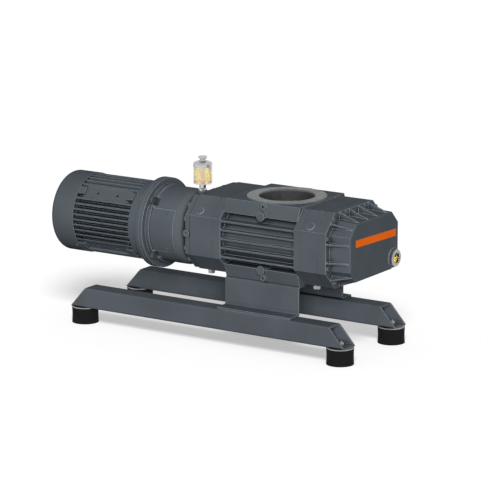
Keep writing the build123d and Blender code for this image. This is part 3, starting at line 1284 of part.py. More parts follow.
def cable_gland():
    """Cable gland under the terminal box, with an open cable bore."""
    z1 = AXIS_Z - BOX_WIDTH / 2
    body = upright(z1 - GLAND_LENGTH, z1 + BOX_WALL + 2, GLAND_R, BOX_X, gland_y())
    body += Pos(BOX_X, gland_y(), z1 - GLAND_NUT_LENGTH) * hexagon_bar(GLAND_NUT_LENGTH, GLAND_NUT_ACROSS)
    body += Pos(BOX_X, gland_y(), z1 - GLAND_LENGTH + 2) * hexagon_bar(GLAND_NUT_LENGTH, GLAND_NUT_ACROSS - 3)
    return body - upright(z1 - GLAND_LENGTH - 1, z1 + BOX_WALL + 3, GLAND_BORE_R, BOX_X, gland_y())


# ---------------------------------------------------------------- oiler

def at_oiler(shape):
    """Place a piece made about the Z axis on the oiler's axis."""
    return Pos(OILER_X, OILER_Y, 0) * shape


def lathe(points):
    """Turned piece from a closed outline of (radius, height) points."""
    return revolve(Plane.XZ * Polygon(*points, align=None), Axis.Z)


def oiler_stem():
    """Tapered stem between the seal cover and the glass."""
    stem = lathe([
        (OIL_PASSAGE_R, OILER_BOSS_TOP), (STEM_R_BOTTOM, OILER_BOSS_TOP),
        (STEM_R_BOTTOM, OILER_BOSS_TOP + 3), (STEM_R_TOP, OILER_BOSS_TOP + 8),
        (STEM_R_TOP, CUP_Z0), (OIL_PASSAGE_R, CUP_Z0),
    ])
    return at_oiler(stem)


def oiler_glass():
    """Glass cup with a thick floor, open at its top."""
    inner = GLASS_CUP_R - GLASS_CUP_WALL
    cup = lathe([
        (TUBE_R, CUP_Z0), (GLASS_CUP_R - 2, CUP_Z0), (GLASS_CUP_R, CUP_Z0 + 2), (GLASS_CUP_R, CUP_Z1),
        (inner, CUP_Z1), (inner, CUP_Z0 + GLASS_CUP_FLOOR), (TUBE_R, CUP_Z0 + GLASS_CUP_FLOOR),
    ])
    return at_oiler(cup)


def oiler_oil():
    """Oil in the cup, round the stand tube."""
    outer = GLASS_CUP_R - GLASS_CUP_WALL - OIL_GAP
    floor = CUP_Z0 + GLASS_CUP_FLOOR
    oil = Pos(0, 0, floor) * extrude(Circle(outer) - Circle(TUBE_R), OIL_LEVEL - GLASS_CUP_FLOOR)
    return at_oiler(oil)


def oiler_tube():
    """Stand tube in the cup with inlet slots near its top."""
    body = Pos(0, 0, CUP_Z0) * extrude(Circle(TUBE_R) - Circle(TUBE_BORE_R), GLASS_CUP_H)
    body -= Pos(0, 0, CUP_Z0 + OIL_LEVEL - 8) * Box(3 * TUBE_R, TUBE_SLOT, 12)
    return at_oiler(body)


def oiler_cap():
    """Domed metal cap that closes the cup."""
    hole = NEEDLE_R + 0.1
    rim_r = GLASS_CUP_R + 0.4
    cap = lathe([
        (hole, CUP_Z1), (rim_r, CUP_Z1), (rim_r, CUP_Z1 + CAP_RIM_H), (rim_r - 3, CUP_Z1 + CAP_RIM_H + 4),
        (CAP_TOP_R, CAP_Z1), (hole, CAP_Z1),
    ])
    return at_oiler(cap)


def oiler_knob():
    """Flow knob: flared head on a waist, with the needle that reaches down the stand tube."""
    z0 = CAP_Z1 + KNOB_CLEARANCE
    head = lathe([
        (0, z0), (KNOB_WAIST_R + 1.5, z0), (KNOB_WAIST_R, z0 + KNOB_H * 0.35),
        (KNOB_R, z0 + KNOB_H * 0.62), (KNOB_R, z0 + KNOB_H - 1), (KNOB_R - 1, z0 + KNOB_H), (0, z0 + KNOB_H),
    ])
    head += Pos(0, 0, z0 - NEEDLE_LENGTH) * extrude(Circle(NEEDLE_R), NEEDLE_LENGTH + 2)
    return at_oiler(head)


# ---------------------------------------------------------------- write the pieces

def main():
    """Build every piece and write one file for each."""
    os.makedirs("parts", exist_ok=True)
    write("foot_buffers", at_feet(foot_buffer()))
    write("foot_inserts", at_feet(foot_insert()))
    write("foot_plates", at_feet(foot_plate()))
    write("foot_nuts", at_feet(foot_nut()))
    write("near_rail", rail(-1))
    write("far_rail", rail(1))
    write("near_pedestal", pedestal(-1))
    write("far_pedestal", pedestal(1))
    write("frame_bolts", frame_bolts())
    write("cylinder_housing", cylinder_housing())
    write("drive_side_housing", drive_side_housing())
    write("gear_side_housing", gear_side_housing())
    write("gear_cover", gear_cover())
    write("cover_bolts", cover_bolts())
    write("sight_glass_ring", sight_glass_ring())
    write("sight_glass_pane", sight_glass_pane())
    write("drain_plugs", drain_plugs())
    write("seal_cover", seal_cover())
    write("seal_side_bolts", seal_side_bolts())
    write("shaft_seal", shaft_seal())
    write("lantern", lantern())
    write("coupling_guards", coupling_guards())
    write("motor_coupling_hub", motor_coupling_hub())
    write("pump_coupling_hub", pump_coupling_hub())
    write("coupling_spider", coupling_spider())
    write("drive_rotor", lobe_rotor(DRIVE_Y, 0))
    write("driven_rotor", lobe_rotor(DRIVEN_Y, 90))
    write("drive_shaft", rotor_shaft(PUMP_HUB_X, DRIVE_Y))
    write("driven_shaft", rotor_shaft(DRIVE_BEARING_X, DRIVEN_Y))
    write("drive_timing_gear", timing_gear(DRIVE_Y, 0))
    write("driven_timing_gear", timing_gear(DRIVEN_Y, 180 / GEAR_TEETH))
    write("drive_lock_nut", lock_nut(DRIVE_Y))
    write("driven_lock_nut", lock_nut(DRIVEN_Y))
    write("bearing_outer_rings", bearing_outer_rings())
    write("drive_bearing_cores", bearing_cores(DRIVE_Y))
    write("driven_bearing_cores", bearing_cores(DRIVEN_Y))
    write("chamber_seals", chamber_seals())
    write("oil_slinger", oil_slinger(DRIVEN_Y))
    write("motor_frame", motor_frame())
    write("motor_front_shield", front_shield())
    write("motor_rear_shield", rear_shield())
    write("motor_flange_bolts", motor_flange_bolts())
    write("stator_core", stator_core())
    write("stator_windings", stator_windings())
    write("motor_rotor_core", rotor_core())
    write("motor_shaft", motor_shaft())
    write("motor_bearing_outers", motor_bearing_outers())
    write("motor_bearing_inners", motor_bearing_inners())
    write("motor_fan", motor_fan())
    write("fan_cover", fan_cover())
    write("terminal_box", terminal_box())
    write("terminal_box_lid", terminal_box_lid())
    write("cable_gland", cable_gland())
    write("oiler_stem", oiler_stem())
    write("oiler_glass", oiler_glass())
    write("oiler_oil", oiler_oil())
    write("oiler_tube", oiler_tube())
    write("oiler_cap", oiler_cap())
    write("oiler_knob", oiler_knob())


main()
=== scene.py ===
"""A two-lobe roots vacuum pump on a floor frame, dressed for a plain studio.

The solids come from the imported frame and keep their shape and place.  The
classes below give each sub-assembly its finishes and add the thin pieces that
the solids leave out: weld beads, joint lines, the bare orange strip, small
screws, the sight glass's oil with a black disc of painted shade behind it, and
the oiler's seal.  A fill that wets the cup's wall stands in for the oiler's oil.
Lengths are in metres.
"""

import logging
import math
from dataclasses import dataclass
from enum import Enum
from typing import Callable, Iterable, Optional, Sequence

import bmesh
import bpy
from mathutils import Matrix, Vector


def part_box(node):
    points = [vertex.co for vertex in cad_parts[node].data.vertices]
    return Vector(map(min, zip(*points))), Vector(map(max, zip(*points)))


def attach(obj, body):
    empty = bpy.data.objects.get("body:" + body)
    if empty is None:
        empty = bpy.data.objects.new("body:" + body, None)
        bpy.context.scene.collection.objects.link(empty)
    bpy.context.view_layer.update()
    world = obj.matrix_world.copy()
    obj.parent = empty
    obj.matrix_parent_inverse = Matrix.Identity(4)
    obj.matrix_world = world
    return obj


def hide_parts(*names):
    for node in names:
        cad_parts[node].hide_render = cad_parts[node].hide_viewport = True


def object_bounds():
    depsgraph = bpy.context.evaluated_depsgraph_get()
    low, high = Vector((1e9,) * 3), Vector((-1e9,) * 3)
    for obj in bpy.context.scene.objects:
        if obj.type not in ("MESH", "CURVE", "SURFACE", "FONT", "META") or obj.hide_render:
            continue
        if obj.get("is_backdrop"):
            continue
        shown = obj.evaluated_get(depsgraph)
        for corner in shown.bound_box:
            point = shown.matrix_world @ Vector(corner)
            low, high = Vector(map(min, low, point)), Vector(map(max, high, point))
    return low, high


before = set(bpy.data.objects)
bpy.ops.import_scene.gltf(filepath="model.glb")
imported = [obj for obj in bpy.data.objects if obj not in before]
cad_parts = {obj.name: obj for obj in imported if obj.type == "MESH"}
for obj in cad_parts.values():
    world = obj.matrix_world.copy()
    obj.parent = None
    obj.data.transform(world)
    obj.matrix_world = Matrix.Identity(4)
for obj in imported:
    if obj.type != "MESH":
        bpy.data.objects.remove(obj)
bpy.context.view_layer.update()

log = logging.getLogger("pump")

Colour = tuple[float, float, float]
Point = tuple[float, float, float]
MM = 0.001
STATIC_BODY = "pump_stand"


class Side(Enum):
    """The two long sides of the pump."""

    NEAR = -1
    FAR = 1


# ---------------------------------------------------------------- node helpers


class Graph:
    """A material's node tree, with short calls for the nodes used here."""

    def __init__(self, name: str) -> None:
        """Start an empty material.

        Args:
            name: the material's name.
        """
        self.material = bpy.data.materials.new(name)
        self.material.use_nodes = True
        self.tree = self.material.node_tree
        self.tree.nodes.clear()
        self.output = self.tree.nodes.new("ShaderNodeOutputMaterial")

    def add(self, kind: str, **settings: object) -> bpy.types.Node:
        """Add a node and set its properties.

        Args:
            kind: the node's type name.
            settings: properties to set on it.

        Returns:
            The node.
        """
        node = self.tree.nodes.new(kind)
        for key, value in settings.items():
            setattr(node, key, value)
        return node

    def link(self, source: bpy.types.NodeSocket, target: bpy.types.NodeSocket) -> None:
        """Join two sockets."""
        self.tree.links.new(source, target)

    def place(self) -> bpy.types.NodeSocket:
        """Return the point on the object, in the row's frame."""
        return self.add("ShaderNodeTexCoord").outputs["Object"]

    def noise(self, scale: float, detail: float = 2.0, rough: float = 0.5,
              where: Optional[bpy.types.NodeSocket] = None) -> bpy.types.NodeSocket:
        """Add fractal noise.

        Args:
            scale: waves in a metre.
            detail: octaves.
            rough: share that each octave keeps.
            where: the point to read it at, or None for the object's own.

        Returns:
            The noise's value socket.
        """
        node = self.add("ShaderNodeTexNoise")
        node.inputs["Scale"].default_value = scale
        node.inputs["Detail"].default_value = detail
        node.inputs["Roughness"].default_value = rough
        self.link(where or self.place(), node.inputs["Vector"])
        return node.outputs["Fac"]

    def ramp(self, value: bpy.types.NodeSocket, low: float, high: float,
             to_low: float = 0.0, to_high: float = 1.0) -> bpy.types.NodeSocket:
        """Map a range of values smoothly to another.

        Args:
            value: the value to map.
            low: start of its range.
            high: end of its range.
            to_low: result at the start.
            to_high: result at the end.

        Returns:
            The mapped value's socket.
        """
        node = self.add("ShaderNodeMapRange", interpolation_type="SMOOTHSTEP")
        node.inputs["From Min"].default_value = low
        node.inputs["From Max"].default_value = high
        node.inputs["To Min"].default_value = to_low
        node.inputs["To Max"].default_value = to_high
        self.link(value, node.inputs["Value"])
        return node.outputs["Result"]

    def math(self, operation: str, a: object, b: object = 0.0) -> bpy.types.NodeSocket:
        """Join two values, or a value and a number, by an operation.

        Args:
            operation: the Math node's operation.
            a: a socket or a number.
            b: a socket or a number.

        Returns:
            The result's socket.
        """
        node = self.add("ShaderNodeMath", operation=operation)
        for index, value in enumerate((a, b)):
            if isinstance(value, (int, float)):
                node.inputs[index].default_value = value
            else:
                self.link(value, node.inputs[index])
        return node.outputs[0]

    def mix(self, factor: bpy.types.NodeSocket, a: object, b: object) -> bpy.types.NodeSocket:
        """Mix two colours.

        Args:
            factor: the share of the second.
            a: a colour socket or a colour.
            b: a colour socket or a colour.

        Returns:
            The mixed colour's socket.
        """
        node = self.add("ShaderNodeMix", data_type="RGBA")
        self.link(factor, node.inputs["Factor"])
        for name, value in (("A", a), ("B", b)):
            socket = [s for s in node.inputs if s.name == name and s.type == "RGBA"][0]
            if isinstance(value, tuple):
                socket.default_value = (*value, 1.0)
            else:
                self.link(value, socket)
        return [s for s in node.outputs if s.type == "RGBA"][0]

    def rounded_normal(self, radius: float) -> bpy.types.NodeSocket:
        """Return a normal that turns softly over edges of the given radius."""
        node = self.add("ShaderNodeBevel", samples=6)
        node.inputs["Radius"].default_value = radius
        return node.outputs["Normal"]

    def edges(self, normal: bpy.types.NodeSocket, spread: float) -> bpy.types.NodeSocket:
        """Return 1 on edges and 0 on flats, from a rounded normal.

        Args:
            normal: the rounded normal.
            spread: how far the normal turns for a full edge.

        Returns:
            The mask's socket.
        """
        geometry = self.add("ShaderNodeNewGeometry")
        dot = self.add("ShaderNodeVectorMath", operation="DOT_PRODUCT")
        self.link(normal, dot.inputs[0])
        self.link(geometry.outputs["True Normal"], dot.inputs[1])
        return self.ramp(dot.outputs["Value"], 1.0, 1.0 - spread)

    def crevices(self, reach: float) -> bpy.types.NodeSocket:
        """Return 1 on open faces and less in corners and gaps narrower than the reach."""
        node = self.add("ShaderNodeAmbientOcclusion", samples=8)
        node.inputs["Distance"].default_value = reach
        return node.outputs["AO"]

    def bump(self, height: bpy.types.NodeSocket, distance: float, strength: float,
             normal: Optional[bpy.types.NodeSocket] = None) -> bpy.types.NodeSocket:
        """Add a bump.

        Args:
            height: the height's socket.
            distance: metres that a height of 1 stands for.
            strength: share of the bump that is used.
            normal: the normal it starts from.

        Returns:
            The bumped normal's socket.
        """
        node = self.add("ShaderNodeBump")
        node.inputs["Distance"].default_value = distance
        node.inputs["Strength"].default_value = strength
        self.link(height, node.inputs["Height"])
        if normal is not None:
            self.link(normal, node.inputs["Normal"])
        return node.outputs["Normal"]

    def surface(self, **values: object) -> bpy.types.Node:
        """Add the main shader and set its sockets by name.

        Args:
            values: socket names, with _ for a space, and their values.

        Returns:
            The shader's node.
        """
        node = self.add("ShaderNodeBsdfPrincipled")
        for key, value in values.items():
            node.inputs[key.replace("_", " ")].default_value = value
        self.link(node.outputs["BSDF"], self.output.inputs["Surface"])
        return node


def shade(colour: Colour, gain: float) -> Colour:
    """Return a colour made lighter or darker by a factor."""
    return tuple(min(1.0, c * gain) for c in colour)


# ---------------------------------------------------------------- finishes


@dataclass(frozen=True)
class Finish:
    """A finish that is built once and shared by every piece that has it."""

    name: str

    def build(self) -> bpy.types.Material:
        """Return the finish's material, made at its first use."""
        found = bpy.data.materials.get(self.name)
        return found if found is not None else self.make(Graph(self.name))

    def make(self, graph: Graph) -> bpy.types.Material:
        """Build the nodes; each finish has its own."""
        raise NotImplementedError


@dataclass(frozen=True)
class Enamel(Finish):
    """Satin enamel over cast or welded metal, with a painted highlight along its edges and painted shade in
    its corners and gaps.
    """

    colour: Colour = (0.102, 0.119, 0.135)
    # painted highlight: the factor by which the paint's colour is made lighter along edges
    edge_highlight_gain: float = 3.0
    edge_radius: float = 2.3 * MM
    # painted shade: how far the darkening reaches, and the factor that darkens the colour in corners and
    # gaps
    gap_reach: float = 22.0 * MM
    gap_shade_gain: float = 0.3
    grain: float = 0.12
    grain_scale: float = 900.0
    grain_gain: float = 1.5
    grain_depth: float = 0.16 * MM
    cloud_scale: float = 9.0
    cloud_gain: float = 0.86
    wear_scale: float = 70.0
    edge_turn: float = 0.14
    roughness: float = 0.62
    specular: float = 0.0005

    def nodes(self, graph: Graph) -> tuple[bpy.types.Node, bpy.types.NodeSocket]:
        """Build the paint.

        Args:
            graph: the material's graph.

        Returns:
            The shader and the rounded normal.
        """
        shader = graph.surface(Specular_IOR_Level=self.specular)
        rounded = graph.rounded_normal(self.edge_radius)
        clouds = graph.ramp(graph.noise(self.cloud_scale, 4.0), 0.35, 0.7)
        base = graph.mix(clouds, self.colour, shade(self.colour, self.cloud_gain))
        specks = graph.ramp(graph.noise(self.grain_scale, 2.0), 0.56, 0.7, 0.0, self.grain)
        speckled = graph.mix(specks, base, shade(self.colour, self.grain_gain))
        # painted shade: the colour darkens in corners and gaps between parts, where shade falls
        gaps = graph.ramp(graph.crevices(self.gap_reach), 0.3, 0.8)
        shaded_gaps = graph.mix(gaps, shade(self.colour, self.gap_shade_gain), speckled)
        # painted highlight: the colour turns much lighter along edges, where light catches them
        edge = graph.edges(rounded, self.edge_turn)
        graph.link(graph.mix(edge, shaded_gaps, shade(self.colour, self.edge_highlight_gain)),
                   shader.inputs["Base Color"])
        worn = graph.ramp(graph.noise(self.wear_scale, 3.0), 0.3, 0.75, self.roughness - 0.07,
                          self.roughness + 0.09)
        graph.link(worn, shader.inputs["Roughness"])
        skin = graph.bump(graph.noise(self.grain_scale, 2.0), self.grain_depth, 0.35, rounded)
        graph.link(skin, shader.inputs["Normal"])
        return shader, rounded

    def make(self, graph: Graph) -> bpy.types.Material:
        """Build the paint's material."""
        self.nodes(graph)
        return graph.material


@dataclass(frozen=True)
class PortedEnamel(Enamel):
    """Enamel with a bare machined ring and bore round a port."""

    centre: Point = (0.0, 0.0, 0.0)
    ring_r: float = 0.1
    bore_r: float = 0.075
    ring_z: float = 0.4
    bore_margin: float = 0.6 * MM
    metal: Colour = (0.125, 0.128, 0.130)
    metallic: float = 0.75
    groove_wave: float = 9000.0
    groove_depth: float = 0.02 * MM

    def make(self, graph: Graph) -> bpy.types.Material:
        """Build the paint, the turned metal and the mask between them."""
        paint, rounded = self.nodes(graph)
        split = graph.add("ShaderNodeSeparateXYZ")
        graph.link(graph.place(), split.inputs[0])
        across = graph.math("SUBTRACT", split.outputs["X"], self.centre[0])
        along = graph.math("SUBTRACT", split.outputs["Y"], self.centre[1])
        square = graph.math("ADD", graph.math("MULTIPLY", across, across),
                            graph.math("MULTIPLY", along, along))
        radius = graph.math("SQRT", square)
        on_top = graph.math("GREATER_THAN", split.outputs["Z"], self.ring_z)
        on_ring = graph.math("LESS_THAN", radius, self.ring_r)
        in_bore = graph.math("LESS_THAN", radius, self.bore_r + self.bore_margin)
        above_axis = graph.math("GREATER_THAN", split.outputs["Z"], self.centre[2])
        mask = graph.math("MAXIMUM", graph.math("MULTIPLY", on_top, on_ring),
                          graph.math("MULTIPLY", in_bore, above_axis))
        metal = graph.add("ShaderNodeBsdfPrincipled")
        metal.inputs["Metallic"].default_value = self.metallic
        turns = graph.math("SINE", graph.math("MULTIPLY", radius, self.groove_wave))
        swirl = graph.ramp(graph.noise(160.0, 3.0), 0.3, 0.7)
        graph.link(graph.mix(swirl, self.metal, shade(self.metal, 1.2)), metal.inputs["Base Color"])
        graph.link(graph.ramp(graph.noise(60.0, 2.0), 0.3, 0.7, 0.34, 0.46), metal.inputs["Roughness"])
        graph.link(graph.bump(turns, self.groove_depth, 0.5, rounded), metal.inputs["Normal"])
        both = graph.add("ShaderNodeMixShader")
        graph.link(mask, both.inputs["Fac"])
        graph.link(paint.outputs["BSDF"], both.inputs[1])
        graph.link(metal.outputs["BSDF"], both.inputs[2])
        graph.link(both.outputs["Shader"], graph.output.inputs["Surface"])
        return graph.material


@dataclass(frozen=True)
class Metal(Finish):
    """Bare or plated metal with fine grain and softened edges."""

    colour: Colour = (0.55, 0.55, 0.54)
    roughness: float = 0.32
    metallic: float = 1.0
    streak: float = 1.0
    edge_radius: float = 0.4 * MM
    grain_scale: float = 1400.0
    grain_depth: float = 0.02 * MM
    spot_scale: float = 45.0
    tarnish: float = 0.78

    def make(self, graph: Graph) -> bpy.types.Material:
        """Build the metal's material."""
        shader = graph.surface(Metallic=self.metallic)
        rounded = graph.rounded_normal(self.edge_radius)
        stretch = graph.add("ShaderNodeMapping")
        stretch.inputs["Scale"].default_value = (1.0, 1.0, self.streak)
        graph.link(graph.place(), stretch.inputs["Vector"])
        lines = graph.noise(self.grain_scale, 3.0, 0.6, stretch.outputs["Vector"])
        spots = graph.ramp(graph.noise(self.spot_scale, 4.0), 0.35, 0.75)
        graph.link(graph.mix(spots, self.colour, shade(self.colour, self.tarnish)),
                   shader.inputs["Base Color"])
        graph.link(graph.ramp(lines, 0.2, 0.8, self.roughness * 0.75, self.roughness * 1.3),
                   shader.inputs["Roughness"])
        graph.link(graph.bump(lines, self.grain_depth, 0.4, rounded), shader.inputs["Normal"])
        return graph.material


@dataclass(frozen=True)
class Laminations(Metal):
    """Stacked sheet steel: fine lines across the X axis."""

    pitch: float = 0.5 * MM
    ridge: float = 0.05 * MM

    def make(self, graph: Graph) -> bpy.types.Material:
        """Build the stack's material."""
        super().make(graph)
        shader = [n for n in graph.tree.nodes if n.type == "BSDF_PRINCIPLED"][0]
        split = graph.add("ShaderNodeSeparateXYZ")
        graph.link(graph.place(), split.inputs[0])
        sheets = graph.math("SINE", graph.math("MULTIPLY", split.outputs["X"], 2 * math.pi / self.pitch))
        graph.link(graph.bump(sheets, self.ridge, 0.6), shader.inputs["Normal"])
        return graph.material


@dataclass(frozen=True)
class Moulded(Finish):
    """Rubber or plastic with a fine moulded grain."""

    colour: Colour = (0.012, 0.012, 0.012)
    roughness: float = 0.66
    specular: float = 0.05
    grain_scale: float = 1600.0
    grain_depth: float = 0.1 * MM
    edge_radius: float = 0.8 * MM
    dust: float = 0.3
    dust_gain: float = 1.9

    def make(self, graph: Graph) -> bpy.types.Material:
        """Build the moulding's material."""
        shader = graph.surface(Specular_IOR_Level=self.specular)
        rounded = graph.rounded_normal(self.edge_radius)
        patches = graph.ramp(graph.noise(38.0, 5.0), 0.45, 0.8, 0.0, self.dust)
        dusty = graph.mix(patches, self.colour, shade(self.colour, self.dust_gain))
        graph.link(dusty, shader.inputs["Base Color"])
        graph.link(graph.ramp(graph.noise(90.0, 3.0), 0.3, 0.7, self.roughness - 0.08, self.roughness + 0.1),
                   shader.inputs["Roughness"])
        graph.link(graph.bump(graph.noise(self.grain_scale, 2.0), self.grain_depth, 0.4, rounded),
                   shader.inputs["Normal"])
        return graph.material


@dataclass(frozen=True)
class Clear(Finish):
    """Clear glass or a clear liquid, with faint waves."""

    colour: Colour = (0.97, 0.98, 0.98)
    deep: Colour = (0.97, 0.98, 0.98)
    deep_z: float = 0.0
    fade: float = 10.0 * MM
    ior: float = 1.45
    roughness: float = 0.0
    through: float = 1.0
    wave: float = 0.05
    wave_scale: float = 60.0
    wave_depth: float = 0.2 * MM

    def make(self, graph: Graph) -> bpy.types.Material:
        """Build the clear material, deeper in colour below deep_z."""
        shader = graph.surface(Transmission_Weight=self.through, IOR=self.ior)
        split = graph.add("ShaderNodeSeparateXYZ")
        graph.link(graph.place(), split.inputs[0])
        height = graph.ramp(split.outputs["Z"], self.deep_z, self.deep_z + self.fade, 1.0, 0.0)
        graph.link(graph.mix(height, self.colour, self.deep), shader.inputs["Base Color"])
        ripple = graph.noise(self.wave_scale, 1.0)
        graph.link(graph.ramp(ripple, 0.3, 0.7, self.roughness, self.roughness + 0.03),
                   shader.inputs["Roughness"])
        graph.link(graph.bump(ripple, self.wave_depth, self.wave), shader.inputs["Normal"])
        return graph.material


@dataclass(frozen=True)
class Film(Finish):
    """Coloured self-adhesive film with a soft gloss."""

    colour: Colour = (1.0, 0.165, 0.004)
    roughness: float = 0.38
    specular: float = 0.04
    peel_scale: float = 320.0
    peel_depth: float = 0.05 * MM

    def make(self, graph: Graph) -> bpy.types.Material:
        """Build the film's material."""
        shader = graph.surface(Specular_IOR_Level=self.specular)
        tone = graph.ramp(graph.noise(14.0, 3.0), 0.3, 0.7)
        graph.link(graph.mix(tone, self.colour, shade(self.colour, 0.93)), shader.inputs["Base Color"])
        peel = graph.noise(self.peel_scale, 2.0)
        graph.link(graph.ramp(peel, 0.3, 0.7, self.roughness - 0.05, self.roughness + 0.08),
                   shader.inputs["Roughness"])
        graph.link(graph.bump(peel, self.peel_depth, 0.25), shader.inputs["Normal"])
        return graph.material


CAST_PAINT = Enamel("cast_enamel")
MOTOR_PAINT = Enamel("motor_enamel", colour=(0.098, 0.115, 0.131), grain=0.06, edge_highlight_gain=2.7,
                     edge_radius=1.5 * MM)
FRAME_PAINT = Enamel("frame_enamel", colour=(0.100, 0.115, 0.132), grain=0.05, edge_highlight_gain=2.8,
                     grain_scale=500.0, roughness=0.45)
DARK_ZINC = Metal("dark_zinc", colour=(0.13, 0.143, 0.155), roughness=0.45, metallic=0.5)
BRIGHT_ZINC = Metal("bright_zinc", colour=(0.42, 0.42, 0.41), roughness=0.36)
GROUND_STEEL = Metal("ground_steel", colour=(0.48, 0.48, 0.48), roughness=0.26, streak=0.2)
ROTOR_IRON = Metal("rotor_iron", colour=(0.22, 0.22, 0.215), roughness=0.38, metallic=0.85, tarnish=0.7)
RING_ALLOY = Metal("ring_alloy", colour=(0.40, 0.40, 0.40), roughness=0.3, metallic=0.9)
CHROME = Metal("chrome_plate", colour=(0.62, 0.63, 0.64), roughness=0.16, tarnish=0.9)
SATIN_ALLOY = Metal("satin_alloy", colour=(0.62, 0.62, 0.63), roughness=0.24, streak=0.1, tarnish=0.9)
COPPER = Metal("winding_copper", colour=(0.72, 0.30, 0.14), roughness=0.36, streak=3.0)
SHEET_STACK = Laminations("steel_stack", colour=(0.24, 0.24, 0.26), roughness=0.42)
RUBBER = Moulded("buffer_black")
SEAL_RUBBER = Moulded("seal_brown", colour=(0.035, 0.024, 0.018), roughness=0.5)
SPIDER_RED = Moulded("spider_red", colour=(0.42, 0.035, 0.02), roughness=0.42, grain_scale=600.0)
FAN_BLACK = Moulded("fan_black", colour=(0.02, 0.02, 0.022), roughness=0.45)
GLAND_GREY = Moulded("gland_grey", colour=(0.03, 0.034, 0.038), roughness=0.4)
JOINT_PASTE = Moulded("joint_paste", colour=(0.012, 0.014, 0.016), roughness=0.7)
CLEAR_GLASS = Clear("clear_glass", ior=1.12)
SIGHT_PANE = Clear("sight_pane_glass", ior=1.12)
AMBER = Moulded("amber_seal", colour=(0.52, 0.16, 0.012), roughness=0.3, specular=0.5, dust=0.2)
ORANGE_FILM = Film("orange_film")
SIGHT_OIL = Clear("sight_oil", colour=(1.0, 0.68, 0.09), deep=(0.95, 0.55, 0.05), through=0.0, ior=1.1)
# painted shade: near-black for the disc that stands for the shaded inside behind the sight glass
SIGHT_SHADE_DISC = Moulded("sight_shade_black", colour=(0.014, 0.014, 0.014), roughness=0.35, dust=0.1)


# ---------------------------------------------------------------- mesh helpers


def new_piece(name: str, build: Callable[[bmesh.types.BMesh], None], finish: Finish,
              body: str = STATIC_BODY, smooth: bool = True) -> bpy.types.Object:
    """Make a mesh piece, dress it and let it ride on a body.

    Args:
        name: the piece's name.
        build: fills an empty bmesh with the piece, in the row's frame.
        finish: the finish it gets.
        body: the body it moves with.
        smooth: whether faces at shallow angles are shaded smooth.

    Returns:
        The new object.
    """
    mesh = bpy.data.meshes.new(name)
    content = bmesh.new()
    build(content)
    bmesh.ops.recalc_face_normals(content, faces=content.faces)
    content.to_mesh(mesh)
    content.free()
    piece = bpy.data.objects.new(name, mesh)
    bpy.context.scene.collection.objects.link(piece)
    piece.data.materials.append(finish.build())
    if smooth:
        mesh.shade_smooth()
        mesh.set_sharp_from_angle(angle=math.radians(35))
    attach(piece, body)
    log.info("piece %s: %d faces", name, len(mesh.polygons))
    return piece


def turn(content: bmesh.types.BMesh, profile: Sequence[tuple[float, float]], matrix: Matrix,
         steps: int = 48) -> None:
    """Turn a closed outline of (radius, height) points about its own Z.

    Args:
        content: the bmesh that gets the piece.
        profile: the outline's points, none of them on the axis but for a radius of 0.
        matrix: places the turned piece.
        steps: facets round the axis.
    """
    rings = []
    for radius, height in profile:
        if radius == 0.0:
            rings.append([content.verts.new(matrix @ Vector((0.0, 0.0, height)))] * steps)
            continue
        rings.append([
            content.verts.new(matrix @ Vector((radius * math.cos(a), radius * math.sin(a), height)))
            for a in (2 * math.pi * i / steps for i in range(steps))])
    for index, ring in enumerate(rings):
        after = rings[(index + 1) % len(rings)]
        for i in range(steps):
            j = (i + 1) % steps
            corners = list(dict.fromkeys((ring[i], ring[j], after[j], after[i])))
            if len(corners) >= 3:
                content.faces.new(corners)


def band(content: bmesh.types.BMesh, outline: Sequence[tuple[float, float]], x0: float, x1: float,
         thickness: float, centre: Vector) -> None:
    """Wrap a closed thin band round an outline that lies across the X axis.

    Args:
        content: the bmesh that gets the band.
        outline: (y, z) points about the centre.
        x0: where the band starts.
        x1: where it ends.
        thickness: how far it stands in and out of the outline, each way.
        centre: the outline's centre.
    """
    loops = []
    for x, grow in ((x0, -thickness), (x0, thickness), (x1, thickness), (x1, -thickness)):
        loops.append([content.verts.new((x, centre.y + y + math.copysign(1, y) * grow,
                                         centre.z + z + math.copysign(1, z) * grow))
                      for y, z in outline])
    count = len(outline)
    for index, loop in enumerate(loops):
        after = loops[(index + 1) % len(loops)]
        for i in range(count):
            j = (i + 1) % count
            content.faces.new((loop[i], loop[j], after[j], after[i]))


def rounded_plate(content: bmesh.types.BMesh, half_w: float, half_h: float, thickness: float,
                  corner: float, matrix: Matrix, steps: int = 5) -> None:
    """Make a thin plate with round corners, lying in its own XY plane from Z 0 up.

    Args:
        content: the bmesh that gets the plate.
        half_w: half its width.
        half_h: half its height.
        thickness: its thickness.
        corner: its corners' radius.
        matrix: places the plate.
        steps: facets in each corner.
    """
    outline = []
    for quarter, (sx, sy) in enumerate(((1, 1), (-1, 1), (-1, -1), (1, -1))):
        for i in range(steps + 1):
            a = math.pi / 2 * (quarter + i / steps)
            outline.append((sx * (half_w - corner) + corner * math.cos(a),
                            sy * (half_h - corner) + corner * math.sin(a)))
    low = [content.verts.new(matrix @ Vector((x, y, 0.0))) for x, y in outline]
    high = [content.verts.new(matrix @ Vector((x, y, thickness))) for x, y in outline]
    content.faces.new(list(reversed(low)))
    content.faces.new(high)
    for i in range(len(outline)):
        j = (i + 1) % len(outline)
        content.faces.new((low[i], low[j], high[j], high[i]))


def facing(direction: Vector, at: Vector) -> Matrix:
    """Return the matrix that puts a piece's own Z along a direction, at a place."""
    return Matrix.Translation(at) @ direction.to_track_quat("Z", "Y").to_matrix().to_4x4()


def socket_screw(content: bmesh.types.BMesh, matrix: Matrix, radius: float, head: float) -> None:
    """Make a low round screw head with a round socket.

    Args:
        content: the bmesh that gets the screw.
        matrix: places it, with its own Z out of the surface.
        radius: the head's radius.
        head: the head's height.
    """
    socket = 0.5 * radius
    depth = 0.45 * head
    edge = 0.15 * radius
    turn(content, [(radius, -0.3 * head), (radius, head - edge), (radius - edge, head), (socket, head),
                   (socket, head - depth), (0.0, head - depth), (0.0, -0.3 * head)], matrix, 18)


